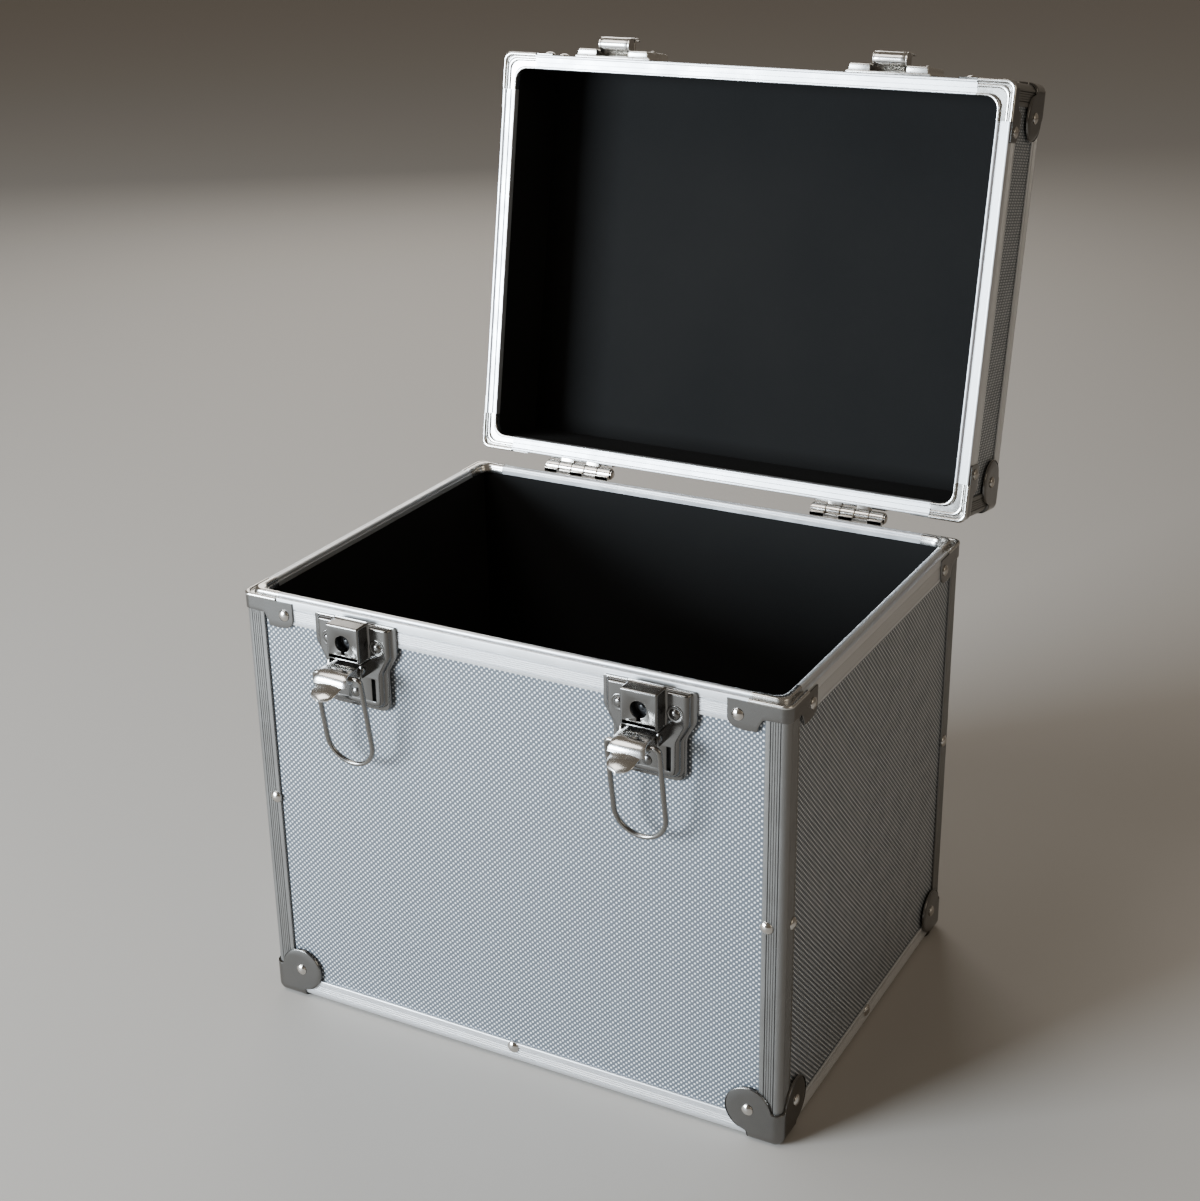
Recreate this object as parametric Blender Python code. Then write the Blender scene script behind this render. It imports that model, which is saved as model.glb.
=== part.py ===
"""Aluminium-framed record carrying case with its lid standing open.

Metres, +Z up, +X to the case's right hand side seen from the front, -Y to the front.
The origin is the centre of the base panel's underside. Every piece of the lid is
modelled where it sits on the closed case and hangs on the lid's pivot, which is
turned open at the end.
"""

import math

import bmesh
import bpy
from mathutils import Matrix, Vector

# Whole case, closed
CASE_WIDTH = 0.356
CASE_DEPTH = 0.270
SEAM_HEIGHT = 0.2798
LID_DEPTH = 0.067
LID_OPEN_ANGLE = math.radians(100.4)

# Gap left between pieces that touch, and how far cutters overrun
CLEARANCE = 0.0003
OVERRUN = 0.002

# Boards, lining and the sheet of the edge extrusions
BOARD = 0.005
BASE_REBATE = 0.0003
LINING = 0.0015
EDGE_WALL = 0.0012
EDGE_FLANGE = 0.014
EDGE_RADIUS = 0.0045
ARC_STEPS = 5

# Rim extrusions: male on the body, female on the lid
RIM_FLANGE = 0.0157
RIM_EASE = 0.0005
RIDGE_WIDTH = 0.0016
GROOVE_DEPTH = 0.001
BEAD_PLACE = 0.0034
BEAD_WIDTH = 0.004
BEAD_HEIGHT = 0.0016
RIM_WEB = 0.0014
BODY_LIP_DEPTH = 0.004
BEAD_HEADROOM = 0.001
BEAD_SIDE_ROOM = 0.0007
LID_LIP = 0.0012
LID_LIP_DEPTH = 0.0055

# Stamped rim corners
CORNER_SKIN = 0.0008
CORNER_ARM = 0.0235
CORNER_INNER_RADIUS = 0.006
CORNER_DROP = 0.0105
LOBE_REACH = 0.036
LOBE_DROP = 0.0185
LOBE_RIVET_REACH = 0.0296
LOBE_RIVET_DROP = 0.0102

# Ball corners
BALL_SKIN = 0.0012
BALL_CENTRE = 0.020
BALL_RADIUS = 0.0147
BALL_TAB = 0.021
# Degrees round a disc's edge from one tab to the other
BALL_SWEEP = (176, -86)

# Rivets
CORNER_RIVET_RADIUS = 0.0035
CORNER_RIVET_RISE = 0.0018
EDGE_RIVET_RADIUS = 0.0039
EDGE_RIVET_RISE = 0.0021
EDGE_RIVET_PLACE = 0.0109
BASE_RIVET_PLACE = 0.0094
POST_RIVET_HEIGHT = 0.1425
RIVET_STEPS = 10
# A rivet's dome: shares of its radius and of its rise
RIVET_SHARES = ((1.00, 0.20), (0.72, 0.75), (0.00, 1.00))

# Draw latches
LATCH_INSET = 0.0815
PLATE_TOP = 0.0028
PLATE_HEIGHT = 0.0555
PLATE_WIDTH = 0.057
PLATE_FLANGE = 0.0015
PLATE_PAN_WIDTH = 0.050
PLATE_PAN_HEIGHT = 0.0495
PLATE_PAN_RISE = 0.005
LATCH_RIVET_SPACING = 0.034
LATCH_RIVET_DROP = 0.0162
LATCH_LOW_RIVET_DROP = 0.0475
LATCH_RIVET_RADIUS = 0.003
LATCH_RIVET_RISE = 0.0014
EAR_WALL = 0.0012
EAR_REACH = 0.0152
EAR_HEIGHT = 0.0085
EAR_TIP = 0.00425
PLATE_SLOT_WIDTH = 0.0022
PLATE_SLOT_HEIGHT = 0.0145
PLATE_SLOT_DROP = 0.044

# Lock housing and its bolt
HOUSING_WIDTH = 0.0226
HOUSING_TOP = 0.0017
HOUSING_HEIGHT = 0.022
HOUSING_REACH = 0.015
HOUSING_EDGE = 0.0008
KEYHOLE_DROP = 0.0128
KEYHOLE_RADIUS = 0.005
KEYHOLE_DEPTH = 0.003
KEYHOLE_POST_RADIUS = 0.0015
KEYHOLE_SLIT_WIDTH = 0.0022
KEYHOLE_SLIT_LENGTH = 0.0085
KEYHOLE_STEPS = 14
BOLT_WIDTH = 0.0152
BOLT_THICKNESS = 0.0012
BOLT_LENGTH = 0.011
BOLT_PLACE = 0.0069
FRONT_SLOT_WIDTH = 0.0196
FRONT_SLOT_HEIGHT = 0.002
FRONT_SLOT_RISE = 0.0011

# Thumb lever, on its pin between the ears
LEVER_PIN_REACH = 0.012
LEVER_PIN_DROP = 0.0287
LEVER_PIN_RADIUS = 0.0015
LEVER_BARREL_RADIUS = 0.0032
LEVER_WIDTH = 0.0207
LEVER_WALL = 0.0012
LEVER_WEB_LENGTH = 0.018
LEVER_TONGUE_LENGTH = 0.0125
LEVER_TONGUE_WIDTH = 0.016
LEVER_TONGUE_FALL = 0.0015
LEVER_CURL = 0.0058
LEVER_CHEEK_WALL = 0.0012
LEVER_TRAVEL = math.radians(82)
LEVER_TAIL_REACH = 0.0064
LEVER_TAIL_THICKNESS = 0.002
LEVER_TAIL_WIDTH = 0.0185
ROUND_STEPS = 12
# Top of the lever's web: shares of its length and of the barrel's radius
LEVER_TOP_SHARES = ((0.45, 0.90), (0.78, 0.42), (0.94, -0.22))
# How far each point under the web lies back from the one above it, in shares of the wall
LEVER_LEAN_SHARES = (0.0, 0.2, 0.6, 0.9, 1.0)

# Wire bail, pivoted in the lever's cheeks
BAIL_PIVOT_REACH = 0.022
BAIL_PIVOT_DROP = 0.0302
BAIL_WIDTH = 0.032
BAIL_LENGTH = 0.0623
BAIL_WIRE_RADIUS = 0.0016
BAIL_STUB = 0.0074
BAIL_BEND_RADIUS = 0.0028
BAIL_LEAN = math.radians(9.5)
BAIL_EYE_RADIUS = 0.0035
BAIL_BEND_STEPS = 4
BAIL_LOOP_STEPS = 8
# Degrees round the lower edge of the cheek's eye
BAIL_EYE_SWEEP = (300, 240)
BAIL_EYE_STEPS = 2

# Keepers on the lid's front
KEEPER_LIFT = 0.0012
KEEPER_WIDTH = 0.056
KEEPER_HEIGHT = 0.036
KEEPER_PAN_WIDTH = 0.051
KEEPER_PAN_RISE = 0.0058
KEEPER_PAN_TOP = 0.0325
KEEPER_NOTCH_WIDTH = 0.026
KEEPER_NOTCH_HEIGHT = 0.0185
HOOK_WIDTH = 0.0248
HOOK_SEAT = 0.0138
HOOK_THICKNESS = 0.0022
HOOK_LIP_PLACE = 0.0119
HOOK_LIP_THICKNESS = 0.0017
HOOK_ROLL_RADIUS = 0.0022
HOOK_ROLL_RISE = 0.0182

# Rear hinges
HINGE_INSET = 0.078
HINGE_WIDTH = 0.050
HINGE_REACH = 0.0065
HINGE_RISE = 0.003
HINGE_LEAF = 0.0015
HINGE_LEAF_HEIGHT = 0.028
HINGE_BARREL_RADIUS = 0.004
HINGE_PIN_RADIUS = 0.0016
HINGE_PIN_HEAD = 0.0008
HINGE_PIN_HEAD_RADIUS = 0.003
HINGE_NECK = 0.0024
KNUCKLES = 5
HINGE_RIVET_RADIUS = 0.0027
HINGE_RIVET_RISE = 0.0014
HINGE_RIVET_INSET = 0.008
HINGE_RIVET_LOW = 0.0105
HINGE_RIVET_HIGH = 0.0215
STOP_LUG_REACH = 0.0055
STOP_LUG_DEPTH = 0.003
STOP_LUG_WIDTH = 0.006

# Carrying handle on the lid
HANDLE_BASE_LENGTH = 0.128
HANDLE_BASE_WIDTH = 0.026
HANDLE_BASE_THICKNESS = 0.0025
HANDLE_POST_THICKNESS = 0.006
HANDLE_POST_WIDTH = 0.013
HANDLE_POST_SPACING = 0.112
HANDLE_AXIS_RISE = 0.0095
HANDLE_PIN_RADIUS = 0.0022
HANDLE_PIN_LENGTH = 0.005
HANDLE_ARM_WALL = 0.0055
HANDLE_ARM_WIDTH = 0.011
HANDLE_REACH = 0.036
HANDLE_BAR_RADIUS = 0.0068
HANDLE_BAR_STEPS = 12

# Faces of the closed case, and how deep each layer lies behind them
SIDE_FACE = CASE_WIDTH / 2
END_FACE = CASE_DEPTH / 2
LATCH_PLACE = SIDE_FACE - LATCH_INSET
HINGE_PLACE = SIDE_FACE - HINGE_INSET
LID_FACE = SEAM_HEIGHT + LID_DEPTH
BOARD_FACE = EDGE_WALL + CLEARANCE
BOARD_BACK = BOARD_FACE + BOARD
LINING_FACE = BOARD_BACK + CLEARANCE
LINING_BACK = LINING_FACE + LINING
BASE_FACE = -BOARD_FACE
RIM_WEB_LOW = GROOVE_DEPTH + RIM_WEB
CHANNEL_ROOF = BEAD_HEIGHT + BEAD_HEADROOM
CHANNEL_WALL = BEAD_PLACE + BEAD_WIDTH + BEAD_SIDE_ROOM
LID_WEB_TOP = CHANNEL_ROOF + RIM_WEB
SKIN_IN = -CLEARANCE
SKIN_OUT = -CLEARANCE - CORNER_SKIN
PIVOT = Vector((0, END_FACE + HINGE_REACH, SEAM_HEIGHT + HINGE_RISE))


def finish(name, colour, roughness, metallic):
    """A plain material with the finish of one kind of piece."""
    material = bpy.data.materials.new(name)
    material.use_nodes = True
    shader = material.node_tree.nodes["Principled BSDF"]
    shader.inputs["Base Color"].default_value = (*colour, 1)
    shader.inputs["Roughness"].default_value = roughness
    shader.inputs["Metallic"].default_value = metallic
    material.diffuse_color = (*colour, 1)
    return material


def solid(form):
    """A closed shape with its faces pointing out, as an object that can be joined or cut."""
    bmesh.ops.recalc_face_normals(form, faces=form.faces)
    mesh = bpy.data.meshes.new("solid")
    form.to_mesh(mesh)
    form.free()
    shape = bpy.data.objects.new("solid", mesh)
    bpy.context.scene.collection.objects.link(shape)
    return shape


def prism(outline, low, high, place):
    """The outline at two levels and the walls between them. place turns (a, b, level) into a point."""
    form = bmesh.new()
    ends = [[form.verts.new(place(a, b, level)) for a, b in outline] for level in (low, high)]
    form.faces.new(ends[0])
    form.faces.new(ends[1])
    for index in range(len(outline)):
        following = (index + 1) % len(outline)
        quad = (ends[0][index], ends[0][following], ends[1][following], ends[1][index])
        form.faces.new(quad)
    return solid(form)


def turned(profile, place, steps):
    """A profile of (radius, level) turned about the level axis, closed by poles or flat ends."""
    form = bmesh.new()
    rings = []
    for radius, level in profile:
        if radius == 0:
            rings.append([form.verts.new(place(0, 0, level))])
            continue
        turns = [math.tau * step / steps for step in range(steps)]
        spots = [place(radius * math.cos(turn), radius * math.sin(turn), level) for turn in turns]
        rings.append([form.verts.new(spot) for spot in spots])
    for lower, upper in zip(rings, rings[1:]):
        for index in range(steps):
            corners = [lower[index % len(lower)], lower[(index + 1) % len(lower)]]
            corners += [upper[(index + 1) % len(upper)], upper[index % len(upper)]]
            form.faces.new(list(dict.fromkeys(corners)))
    for ring in (rings[0], rings[-1]):
        if len(ring) > 1:
            form.faces.new(ring)
    return solid(form)


def block(low, high):
    """A rectangular solid between two opposite corners."""
    form = bmesh.new()
    centre = (Vector(low) + Vector(high)) / 2
    size = Vector(high) - Vector(low)
    bmesh.ops.create_cube(form, size=1, matrix=Matrix.Translation(centre) @ Matrix.Diagonal((*size, 1)))
    return solid(form)


def rounded_block(low, high, radius, is_square):
    """A block whose edges are rounded, but for those whose middle is_square names."""
    shape = block(low, high)
    form = bmesh.new()
    form.from_mesh(shape.data)
    edges = [edge for edge in form.edges if not is_square((edge.verts[0].co + edge.verts[1].co) / 2)]
    bmesh.ops.bevel(form, geom=edges, offset=radius, segments=ARC_STEPS, profile=0.5, affect="EDGES")
    form.to_mesh(shape.data)
    form.free()
    return shape


def combined(target, others, operation):
    """The target joined with, cut by or kept inside the other shapes, which are used up."""
    for other in others:
        modifier = target.modifiers.new(operation, "BOOLEAN")
        modifier.operation = operation
        modifier.object = other
    bpy.context.view_layer.update()
    evaluated = target.evaluated_get(bpy.context.evaluated_depsgraph_get())
    mesh = bpy.data.meshes.new_from_object(evaluated)
    target.modifiers.clear()
    target.data = mesh
    for other in others:
        bpy.data.objects.remove(other)
    return target


def joined(target, *others):
    return combined(target, others, "UNION")


def cut(target, *cutters):
    return combined(target, cutters, "DIFFERENCE")


def mirrored(mesh, across_x, across_y):
    """A copy of the mesh, reflected left to right, front to rear or both, its faces still pointing out."""
    copy = mesh.copy()
    copy.transform(Matrix.Diagonal((-1 if across_x else 1, -1 if across_y else 1, 1, 1)))
    if across_x != across_y:
        copy.flip_normals()
    return copy


def placed(mesh, name, material, origin, parent=None):
    """A piece of the case from a mesh modelled about its own origin, and what carries it."""
    mesh.name = name
    mesh.materials.clear()
    mesh.materials.append(material)
    mesh.shade_smooth()
    mesh.set_sharp_from_angle(angle=math.radians(30))
    piece = bpy.data.objects.new(name, mesh)
    bpy.context.scene.collection.objects.link(piece)
    piece.location = Vector(origin)
    if parent:
        piece.parent = parent
        piece.location = Vector(origin) - parent.location
    return piece


def named(shape, name, material, origin, parent=None):
    """A piece of the case from a shape modelled in its place."""
    mesh = shape.data
    bpy.data.objects.remove(shape)
    mesh.transform(Matrix.Translation(-Vector(origin)))
    return placed(mesh, name, material, origin, parent)


def pivot(name, spot):
    """An empty on a joint's axis."""
    holder = bpy.data.objects.new(name, None)
    holder.location = spot
    bpy.context.scene.collection.objects.link(holder)
    return holder


def arc(centre_a, centre_b, radius, start, end, steps):
    """Points along an arc, angles in degrees."""
    turns = [math.radians(start + (end - start) * step / steps) for step in range(steps + 1)]
    return [(centre_a + radius * math.cos(t), centre_b + radius * math.sin(t)) for t in turns]


def rivet(radius, rise, place):
    """A domed rivet head that stands on level zero and reaches a little below it to join its piece."""
    dome = [(radius * across, rise * up) for across, up in RIVET_SHARES]
    profile = [(radius, -CLEARANCE)] + dome
    return turned(profile, place, RIVET_STEPS)


def make_panels(skin, board_edge, pivot_lid):
    """Five boards of the body and five of the lid. The end boards stand between the side boards, and
    the base board is rebated where its edge extrusions and the ball corners' discs lap it."""
    body_low = BASE_FACE + EDGE_RADIUS
    body_high = SEAM_HEIGHT - RIM_WEB_LOW - CLEARANCE
    lid_low = SEAM_HEIGHT + LID_WEB_TOP + CLEARANCE
    lid_high = LID_FACE - EDGE_RADIUS
    levels = (("", body_low, body_high, None), ("lid_", lid_low, lid_high, pivot_lid))
    for prefix, low, high, holder in levels:
        part = "wall" if prefix else "panel"
        for side, sign in (("left", -1), ("right", 1)):
            faces = sorted((sign * (SIDE_FACE - BOARD_FACE), sign * (SIDE_FACE - BOARD_BACK)))
            length = END_FACE - EDGE_RADIUS
            board = block((faces[0], -length, low), (faces[1], length, high))
            centre = (sum(faces) / 2, 0, (low + high) / 2)
            named(board, f"{prefix}{side}_{part}", skin, centre, holder)
        for end, sign in (("front", -1), ("rear", 1)):
            faces = sorted((sign * (END_FACE - BOARD_FACE), sign * (END_FACE - BOARD_BACK)))
            length = SIDE_FACE - LINING_FACE
            board = block((-length, faces[0], low), (length, faces[1], high))
            centre = (0, sum(faces) / 2, (low + high) / 2)
            named(board, f"{prefix}{end}_{part}", skin, centre, holder)
    width = SIDE_FACE - LINING_FACE
    depth = END_FACE - LINING_FACE
    base = block((-width, -depth, BASE_REBATE), (width, depth, BOARD))
    inset = BALL_CENTRE + BALL_RADIUS + CLEARANCE
    pad = (SIDE_FACE - inset, END_FACE - inset)
    underside = block((-pad[0], -pad[1], 0), (pad[0], pad[1], BOARD / 2))
    named(joined(base, underside), "base_panel", board_edge, (0, 0, 0))
    top = block((-width, -depth, LID_FACE - BOARD_BACK), (width, depth, LID_FACE - BOARD_FACE))
    named(top, "lid_top_panel", skin, (0, 0, LID_FACE - BOARD_FACE), pivot_lid)


def make_linings(cloth, pivot_lid):
    """A black lining in the body and one in the lid, each one skin over four walls and a floor."""
    width = SIDE_FACE - LINING_FACE
    depth = END_FACE - LINING_FACE
    low = BOARD + CLEARANCE
    high = SEAM_HEIGHT - BODY_LIP_DEPTH - CLEARANCE
    body = block((-width, -depth, low), (width, depth, high))
    hollow_low = (LINING - width, LINING - depth, low + LINING)
    hollow = block(hollow_low, (width - LINING, depth - LINING, high + OVERRUN))
    named(cut(body, hollow), "body_lining", cloth, (0, 0, low))
    low = SEAM_HEIGHT + LID_LIP_DEPTH + CLEARANCE
    high = LID_FACE - LINING_FACE
    lid = block((-width, -depth, low), (width, depth, high))
    hollow_high = (width - LINING, depth - LINING, high - LINING)
    hollow = block((LINING - width, LINING - depth, low - OVERRUN), hollow_high)
    named(cut(lid, hollow), "lid_lining", cloth, (0, 0, high), pivot_lid)


def edge_outline():
    """Cross-section of a corner post: two flanges joined by a rounded corner, from the outer corner."""
    outer = arc(EDGE_RADIUS, EDGE_RADIUS, EDGE_RADIUS, 270, 180, ARC_STEPS)
    inner = arc(EDGE_RADIUS, EDGE_RADIUS, EDGE_RADIUS - EDGE_WALL, 180, 270, ARC_STEPS)
    ends = [(EDGE_FLANGE, EDGE_WALL), (EDGE_FLANGE, 0)]
    middle = [(0, EDGE_FLANGE), (EDGE_WALL, EDGE_FLANGE)]
    return outer + middle + inner + ends


def corner_rivets(radius, rise, reach, level, skin):
    """A rivet on each upright face of the front left corner, which lies at the origin."""

    def front(a, b, height):
        return (reach + a, skin - height, level + b)

    def side(a, b, height):
        return (skin - height, reach + a, level + b)

    return [rivet(radius, rise, place) for place in (front, side)]


def make_posts(extrusion):
    """Four upright corner posts, each with a rivet about half way up both flanges."""
    low = BASE_FACE + EDGE_FLANGE + CLEARANCE
    high = SEAM_HEIGHT - RIM_WEB_LOW - CLEARANCE
    height = high - low
    post = prism(edge_outline(), 0, height, lambda a, b, level: (a, b, level))
    rivet_level = POST_RIVET_HEIGHT - low
    rivets = corner_rivets(EDGE_RIVET_RADIUS, EDGE_RIVET_RISE, EDGE_RIVET_PLACE, rivet_level, 0)
    joined(post, *rivets)
    copies(post, "corner_post", extrusion, low, None)


def copies(master, name, material, level, holder):
    """The front left piece, modelled about its corner, and its three mirror images."""
    for end, across_y in (("front", False), ("rear", True)):
        for side, across_x in (("left", False), ("right", True)):
            mesh = mirrored(master.data, across_x, across_y)
            spot = (SIDE_FACE if across_x else -SIDE_FACE, END_FACE if across_y else -END_FACE, level)
            placed(mesh, f"{name}_{end}_{side}", material, spot, holder)
    bpy.data.objects.remove(master)


def make_base_frame(extrusion):
    """The four base edge extrusions, mitred at the corners and joined into one frame."""
    low = BASE_FACE
    high = BASE_FACE + EDGE_FLANGE

    def at_top(middle):
        return middle.z > high - EDGE_RADIUS

    outer = rounded_block((-SIDE_FACE, -END_FACE, low), (SIDE_FACE, END_FACE, high), EDGE_RADIUS, at_top)
    width = SIDE_FACE - EDGE_WALL
    depth = END_FACE - EDGE_WALL
    inner_low = (-width, -depth, low + EDGE_WALL)
    inner_high = (width, depth, high + EDGE_FLANGE)
    inner = rounded_block(inner_low, inner_high, EDGE_RADIUS - EDGE_WALL, at_top)
    width = SIDE_FACE - EDGE_FLANGE
    depth = END_FACE - EDGE_FLANGE
    window = block((-width, -depth, low - OVERRUN), (width, depth, high))
    frame = cut(outer, inner, window)
    level = low + BASE_RIVET_PLACE
    rivets = []
    for sign in (-1, 1):
        for place in (
            lambda a, b, rise, s=sign: (a, s * (END_FACE + rise), level + b),
            lambda a, b, rise, s=sign: (s * (SIDE_FACE + rise), a, level + b),
        ):
            rivets.append(rivet(EDGE_RIVET_RADIUS, EDGE_RIVET_RISE, place))
    named(joined(frame, *rivets), "base_edge_frame", extrusion, (0, 0, low))


def make_lid_frame(extrusion, pivot_lid):
    """The lid's four top edge extrusions and four short corner posts, joined into one frame."""
    low = SEAM_HEIGHT + LID_WEB_TOP + CLEARANCE
    high = LID_FACE

    def at_bottom(middle):
        return middle.z < low + EDGE_RADIUS

    outer = rounded_block((-SIDE_FACE, -END_FACE, low), (SIDE_FACE, END_FACE, high), EDGE_RADIUS, at_bottom)
    width = SIDE_FACE - EDGE_WALL
    depth = END_FACE - EDGE_WALL
    inner_low = (-width, -depth, low - EDGE_FLANGE)
    inner_high = (width, depth, high - EDGE_WALL)
    inner = rounded_block(inner_low, inner_high, EDGE_RADIUS - EDGE_WALL, at_bottom)
    width = SIDE_FACE - EDGE_FLANGE
    depth = END_FACE - EDGE_FLANGE
    top = high - EDGE_FLANGE
    under = low - OVERRUN
    roof_window = block((-width, -depth, under), (width, depth, high + OVERRUN))
    end_window = block((-width, -END_FACE - OVERRUN, under), (width, END_FACE + OVERRUN, top))
    side_window = block((-SIDE_FACE - OVERRUN, -depth, under), (SIDE_FACE + OVERRUN, depth, top))
    frame = cut(outer, inner, roof_window, end_window, side_window)
    named(frame, "lid_edge_frame", extrusion, (0, 0, high), pivot_lid)


def male_profile():
    """Cross-section of the body's rim: (inwards from the face, above the seam)."""
    bead_end = BEAD_PLACE + BEAD_WIDTH
    return [
        (0, -RIM_FLANGE),
        (0, -RIM_EASE),
        (RIM_EASE, 0),
        (RIDGE_WIDTH, 0),
        (RIDGE_WIDTH, -GROOVE_DEPTH),
        (BEAD_PLACE, -GROOVE_DEPTH),
        (BEAD_PLACE, BEAD_HEIGHT - RIM_EASE),
        (BEAD_PLACE + RIM_EASE, BEAD_HEIGHT),
        (bead_end - RIM_EASE, BEAD_HEIGHT),
        (bead_end, BEAD_HEIGHT - RIM_EASE),
        (bead_end, -GROOVE_DEPTH),
        (LINING_BACK, -GROOVE_DEPTH),
        (LINING_BACK, -BODY_LIP_DEPTH),
        (LINING_FACE, -BODY_LIP_DEPTH),
        (LINING_FACE, -RIM_WEB_LOW),
        (EDGE_WALL, -RIM_WEB_LOW),
        (EDGE_WALL, -RIM_FLANGE),
    ]


def female_profile():
    """Cross-section of the lid's rim, whose channel takes the body's bead."""
    lip_end = CHANNEL_WALL + LID_LIP
    return [
        (0, RIM_FLANGE),
        (0, CLEARANCE + RIM_EASE),
        (RIM_EASE, CLEARANCE),
        (RIDGE_WIDTH, CLEARANCE),
        (RIDGE_WIDTH, CHANNEL_ROOF),
        (CHANNEL_WALL, CHANNEL_ROOF),
        (CHANNEL_WALL, CLEARANCE),
        (lip_end, CLEARANCE),
        (lip_end, LID_LIP_DEPTH),
        (LINING_FACE, LID_LIP_DEPTH),
        (LINING_FACE, LID_WEB_TOP),
        (EDGE_WALL, LID_WEB_TOP),
        (EDGE_WALL, RIM_FLANGE),
    ]


def make_rims(extrusion, pivot_lid):
    """Four straight rim extrusions on the body and four on the lid, between the rim corners."""
    width = SIDE_FACE - CORNER_ARM - CLEARANCE
    depth = END_FACE - CORNER_ARM - CLEARANCE
    for prefix, profile, holder in (("body", male_profile(), None), ("lid", female_profile(), pivot_lid)):
        for end, sign in (("front", -1), ("rear", 1)):

            def end_place(inwards, rise, along, s=sign):
                return (along, s * (END_FACE - inwards), SEAM_HEIGHT + rise)

            rim = prism(profile, -width, width, end_place)
            named(rim, f"{prefix}_rim_{end}", extrusion, (0, sign * END_FACE, SEAM_HEIGHT), holder)
        for side, sign in (("left", -1), ("right", 1)):

            def side_place(inwards, rise, along, s=sign):
                return (s * (SIDE_FACE - inwards), along, SEAM_HEIGHT + rise)

            rim = prism(profile, -depth, depth, side_place)
            named(rim, f"{prefix}_rim_{side}", extrusion, (sign * SIDE_FACE, 0, SEAM_HEIGHT), holder)


def corner_sweep(profile):
    """The profile carried round the front left corner. Each of its points has a rounding of its own,
    which keeps the inner corner as round as the outer one."""
    stations = [None] + list(range(ARC_STEPS + 1)) + [None]
    form = bmesh.new()
    rings = []
    for place, station in enumerate(stations):
        ring = []
        for inwards, rise in profile:
            growth = (CORNER_INNER_RADIUS - EDGE_RADIUS) * inwards / LINING_BACK
            radius = EDGE_RADIUS + growth if inwards > 0 else EDGE_RADIUS - inwards
            if station is None:
                p, q = (CORNER_ARM, inwards) if place == 0 else (inwards, CORNER_ARM)
            else:
                turn = math.pi / 2 * station / ARC_STEPS
                p = inwards + radius * (1 - math.sin(turn))
                q = inwards + radius * (1 - math.cos(turn))
            ring.append(form.verts.new((p, q, rise)))
        rings.append(ring)
    count = len(profile)
    for first, second in zip(rings, rings[1:]):
        for index in range(count):
            following = (index + 1) % count
            form.faces.new((first[index], first[following], second[following], second[index]))
    form.faces.new(rings[0])
    form.faces.new(rings[-1])
    return solid(form)


def with_skin(profile, up):
    """The rim profile with its flange swapped for the stamped skin that wraps the corner outside."""
    web = RIM_WEB_LOW if up < 0 else LID_WEB_TOP
    start = next(index for index, point in enumerate(profile) if point[0] == RIDGE_WIDTH)
    ridge = profile[start][1]
    middle = [point for point in profile[start:] if point[0] > EDGE_WALL]
    skin_top = [
        (SKIN_OUT, up * CORNER_DROP),
        (SKIN_OUT, ridge + up * (RIM_EASE - SKIN_OUT)),
        (SKIN_IN, ridge + up * RIM_EASE),
        (RIM_EASE, ridge),
    ]
    return skin_top + middle + [(SKIN_IN, up * web), (SKIN_IN, up * CORNER_DROP)]


# Outline of a rim corner's riveted plate: shares of LOBE_REACH and of LOBE_DROP
LOBE_SHARES = (
    (0.30, 0.16),
    (1.00, 0.16),
    (1.00, 0.76),
    (0.93, 0.91),
    (0.80, 0.98),
    (0.62, 1.00),
    (0.51, 0.99),
    (0.49, 0.80),
    (0.46, 0.65),
    (0.41, 0.57),
    (0.30, 0.55),
)


def make_rim_corners(chrome, pivot_lid):
    """Stamped corners that join the rims, with a riveted plate over each flange beside them."""
    for prefix, profile, up, holder in (
        ("body", male_profile(), -1, None),
        ("lid", female_profile(), 1, pivot_lid),
    ):
        corner = corner_sweep(with_skin(profile, up))
        lobe = [(reach * LOBE_REACH, up * drop * LOBE_DROP) for reach, drop in LOBE_SHARES]

        front = prism(lobe, SKIN_OUT, SKIN_IN, lambda p, rise, inwards: (p, inwards, rise))
        side = prism(lobe, SKIN_OUT, SKIN_IN, lambda q, rise, inwards: (inwards, q, rise))
        drop = up * LOBE_RIVET_DROP
        rivets = corner_rivets(CORNER_RIVET_RADIUS, CORNER_RIVET_RISE, LOBE_RIVET_REACH, drop, SKIN_OUT)
        joined(corner, front, side, *rivets)
        copies(corner, f"{prefix}_rim_corner", chrome, SEAM_HEIGHT, holder)


def ball_outline():
    """One plate of a ball corner: a disc with a tab to the corner, measured from the corner's edges."""
    size = BALL_CENTRE + 2 * BALL_RADIUS
    skin = -CLEARANCE - BALL_SKIN - OVERRUN
    disc = arc(BALL_CENTRE, BALL_CENTRE, BALL_RADIUS, *BALL_SWEEP, 4 * ARC_STEPS)
    outline = [(skin, skin), (skin, BALL_TAB), (disc[0][0], BALL_TAB)]
    outline += disc + [(BALL_TAB, disc[-1][1]), (BALL_TAB, skin)]
    return outline, size


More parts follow.
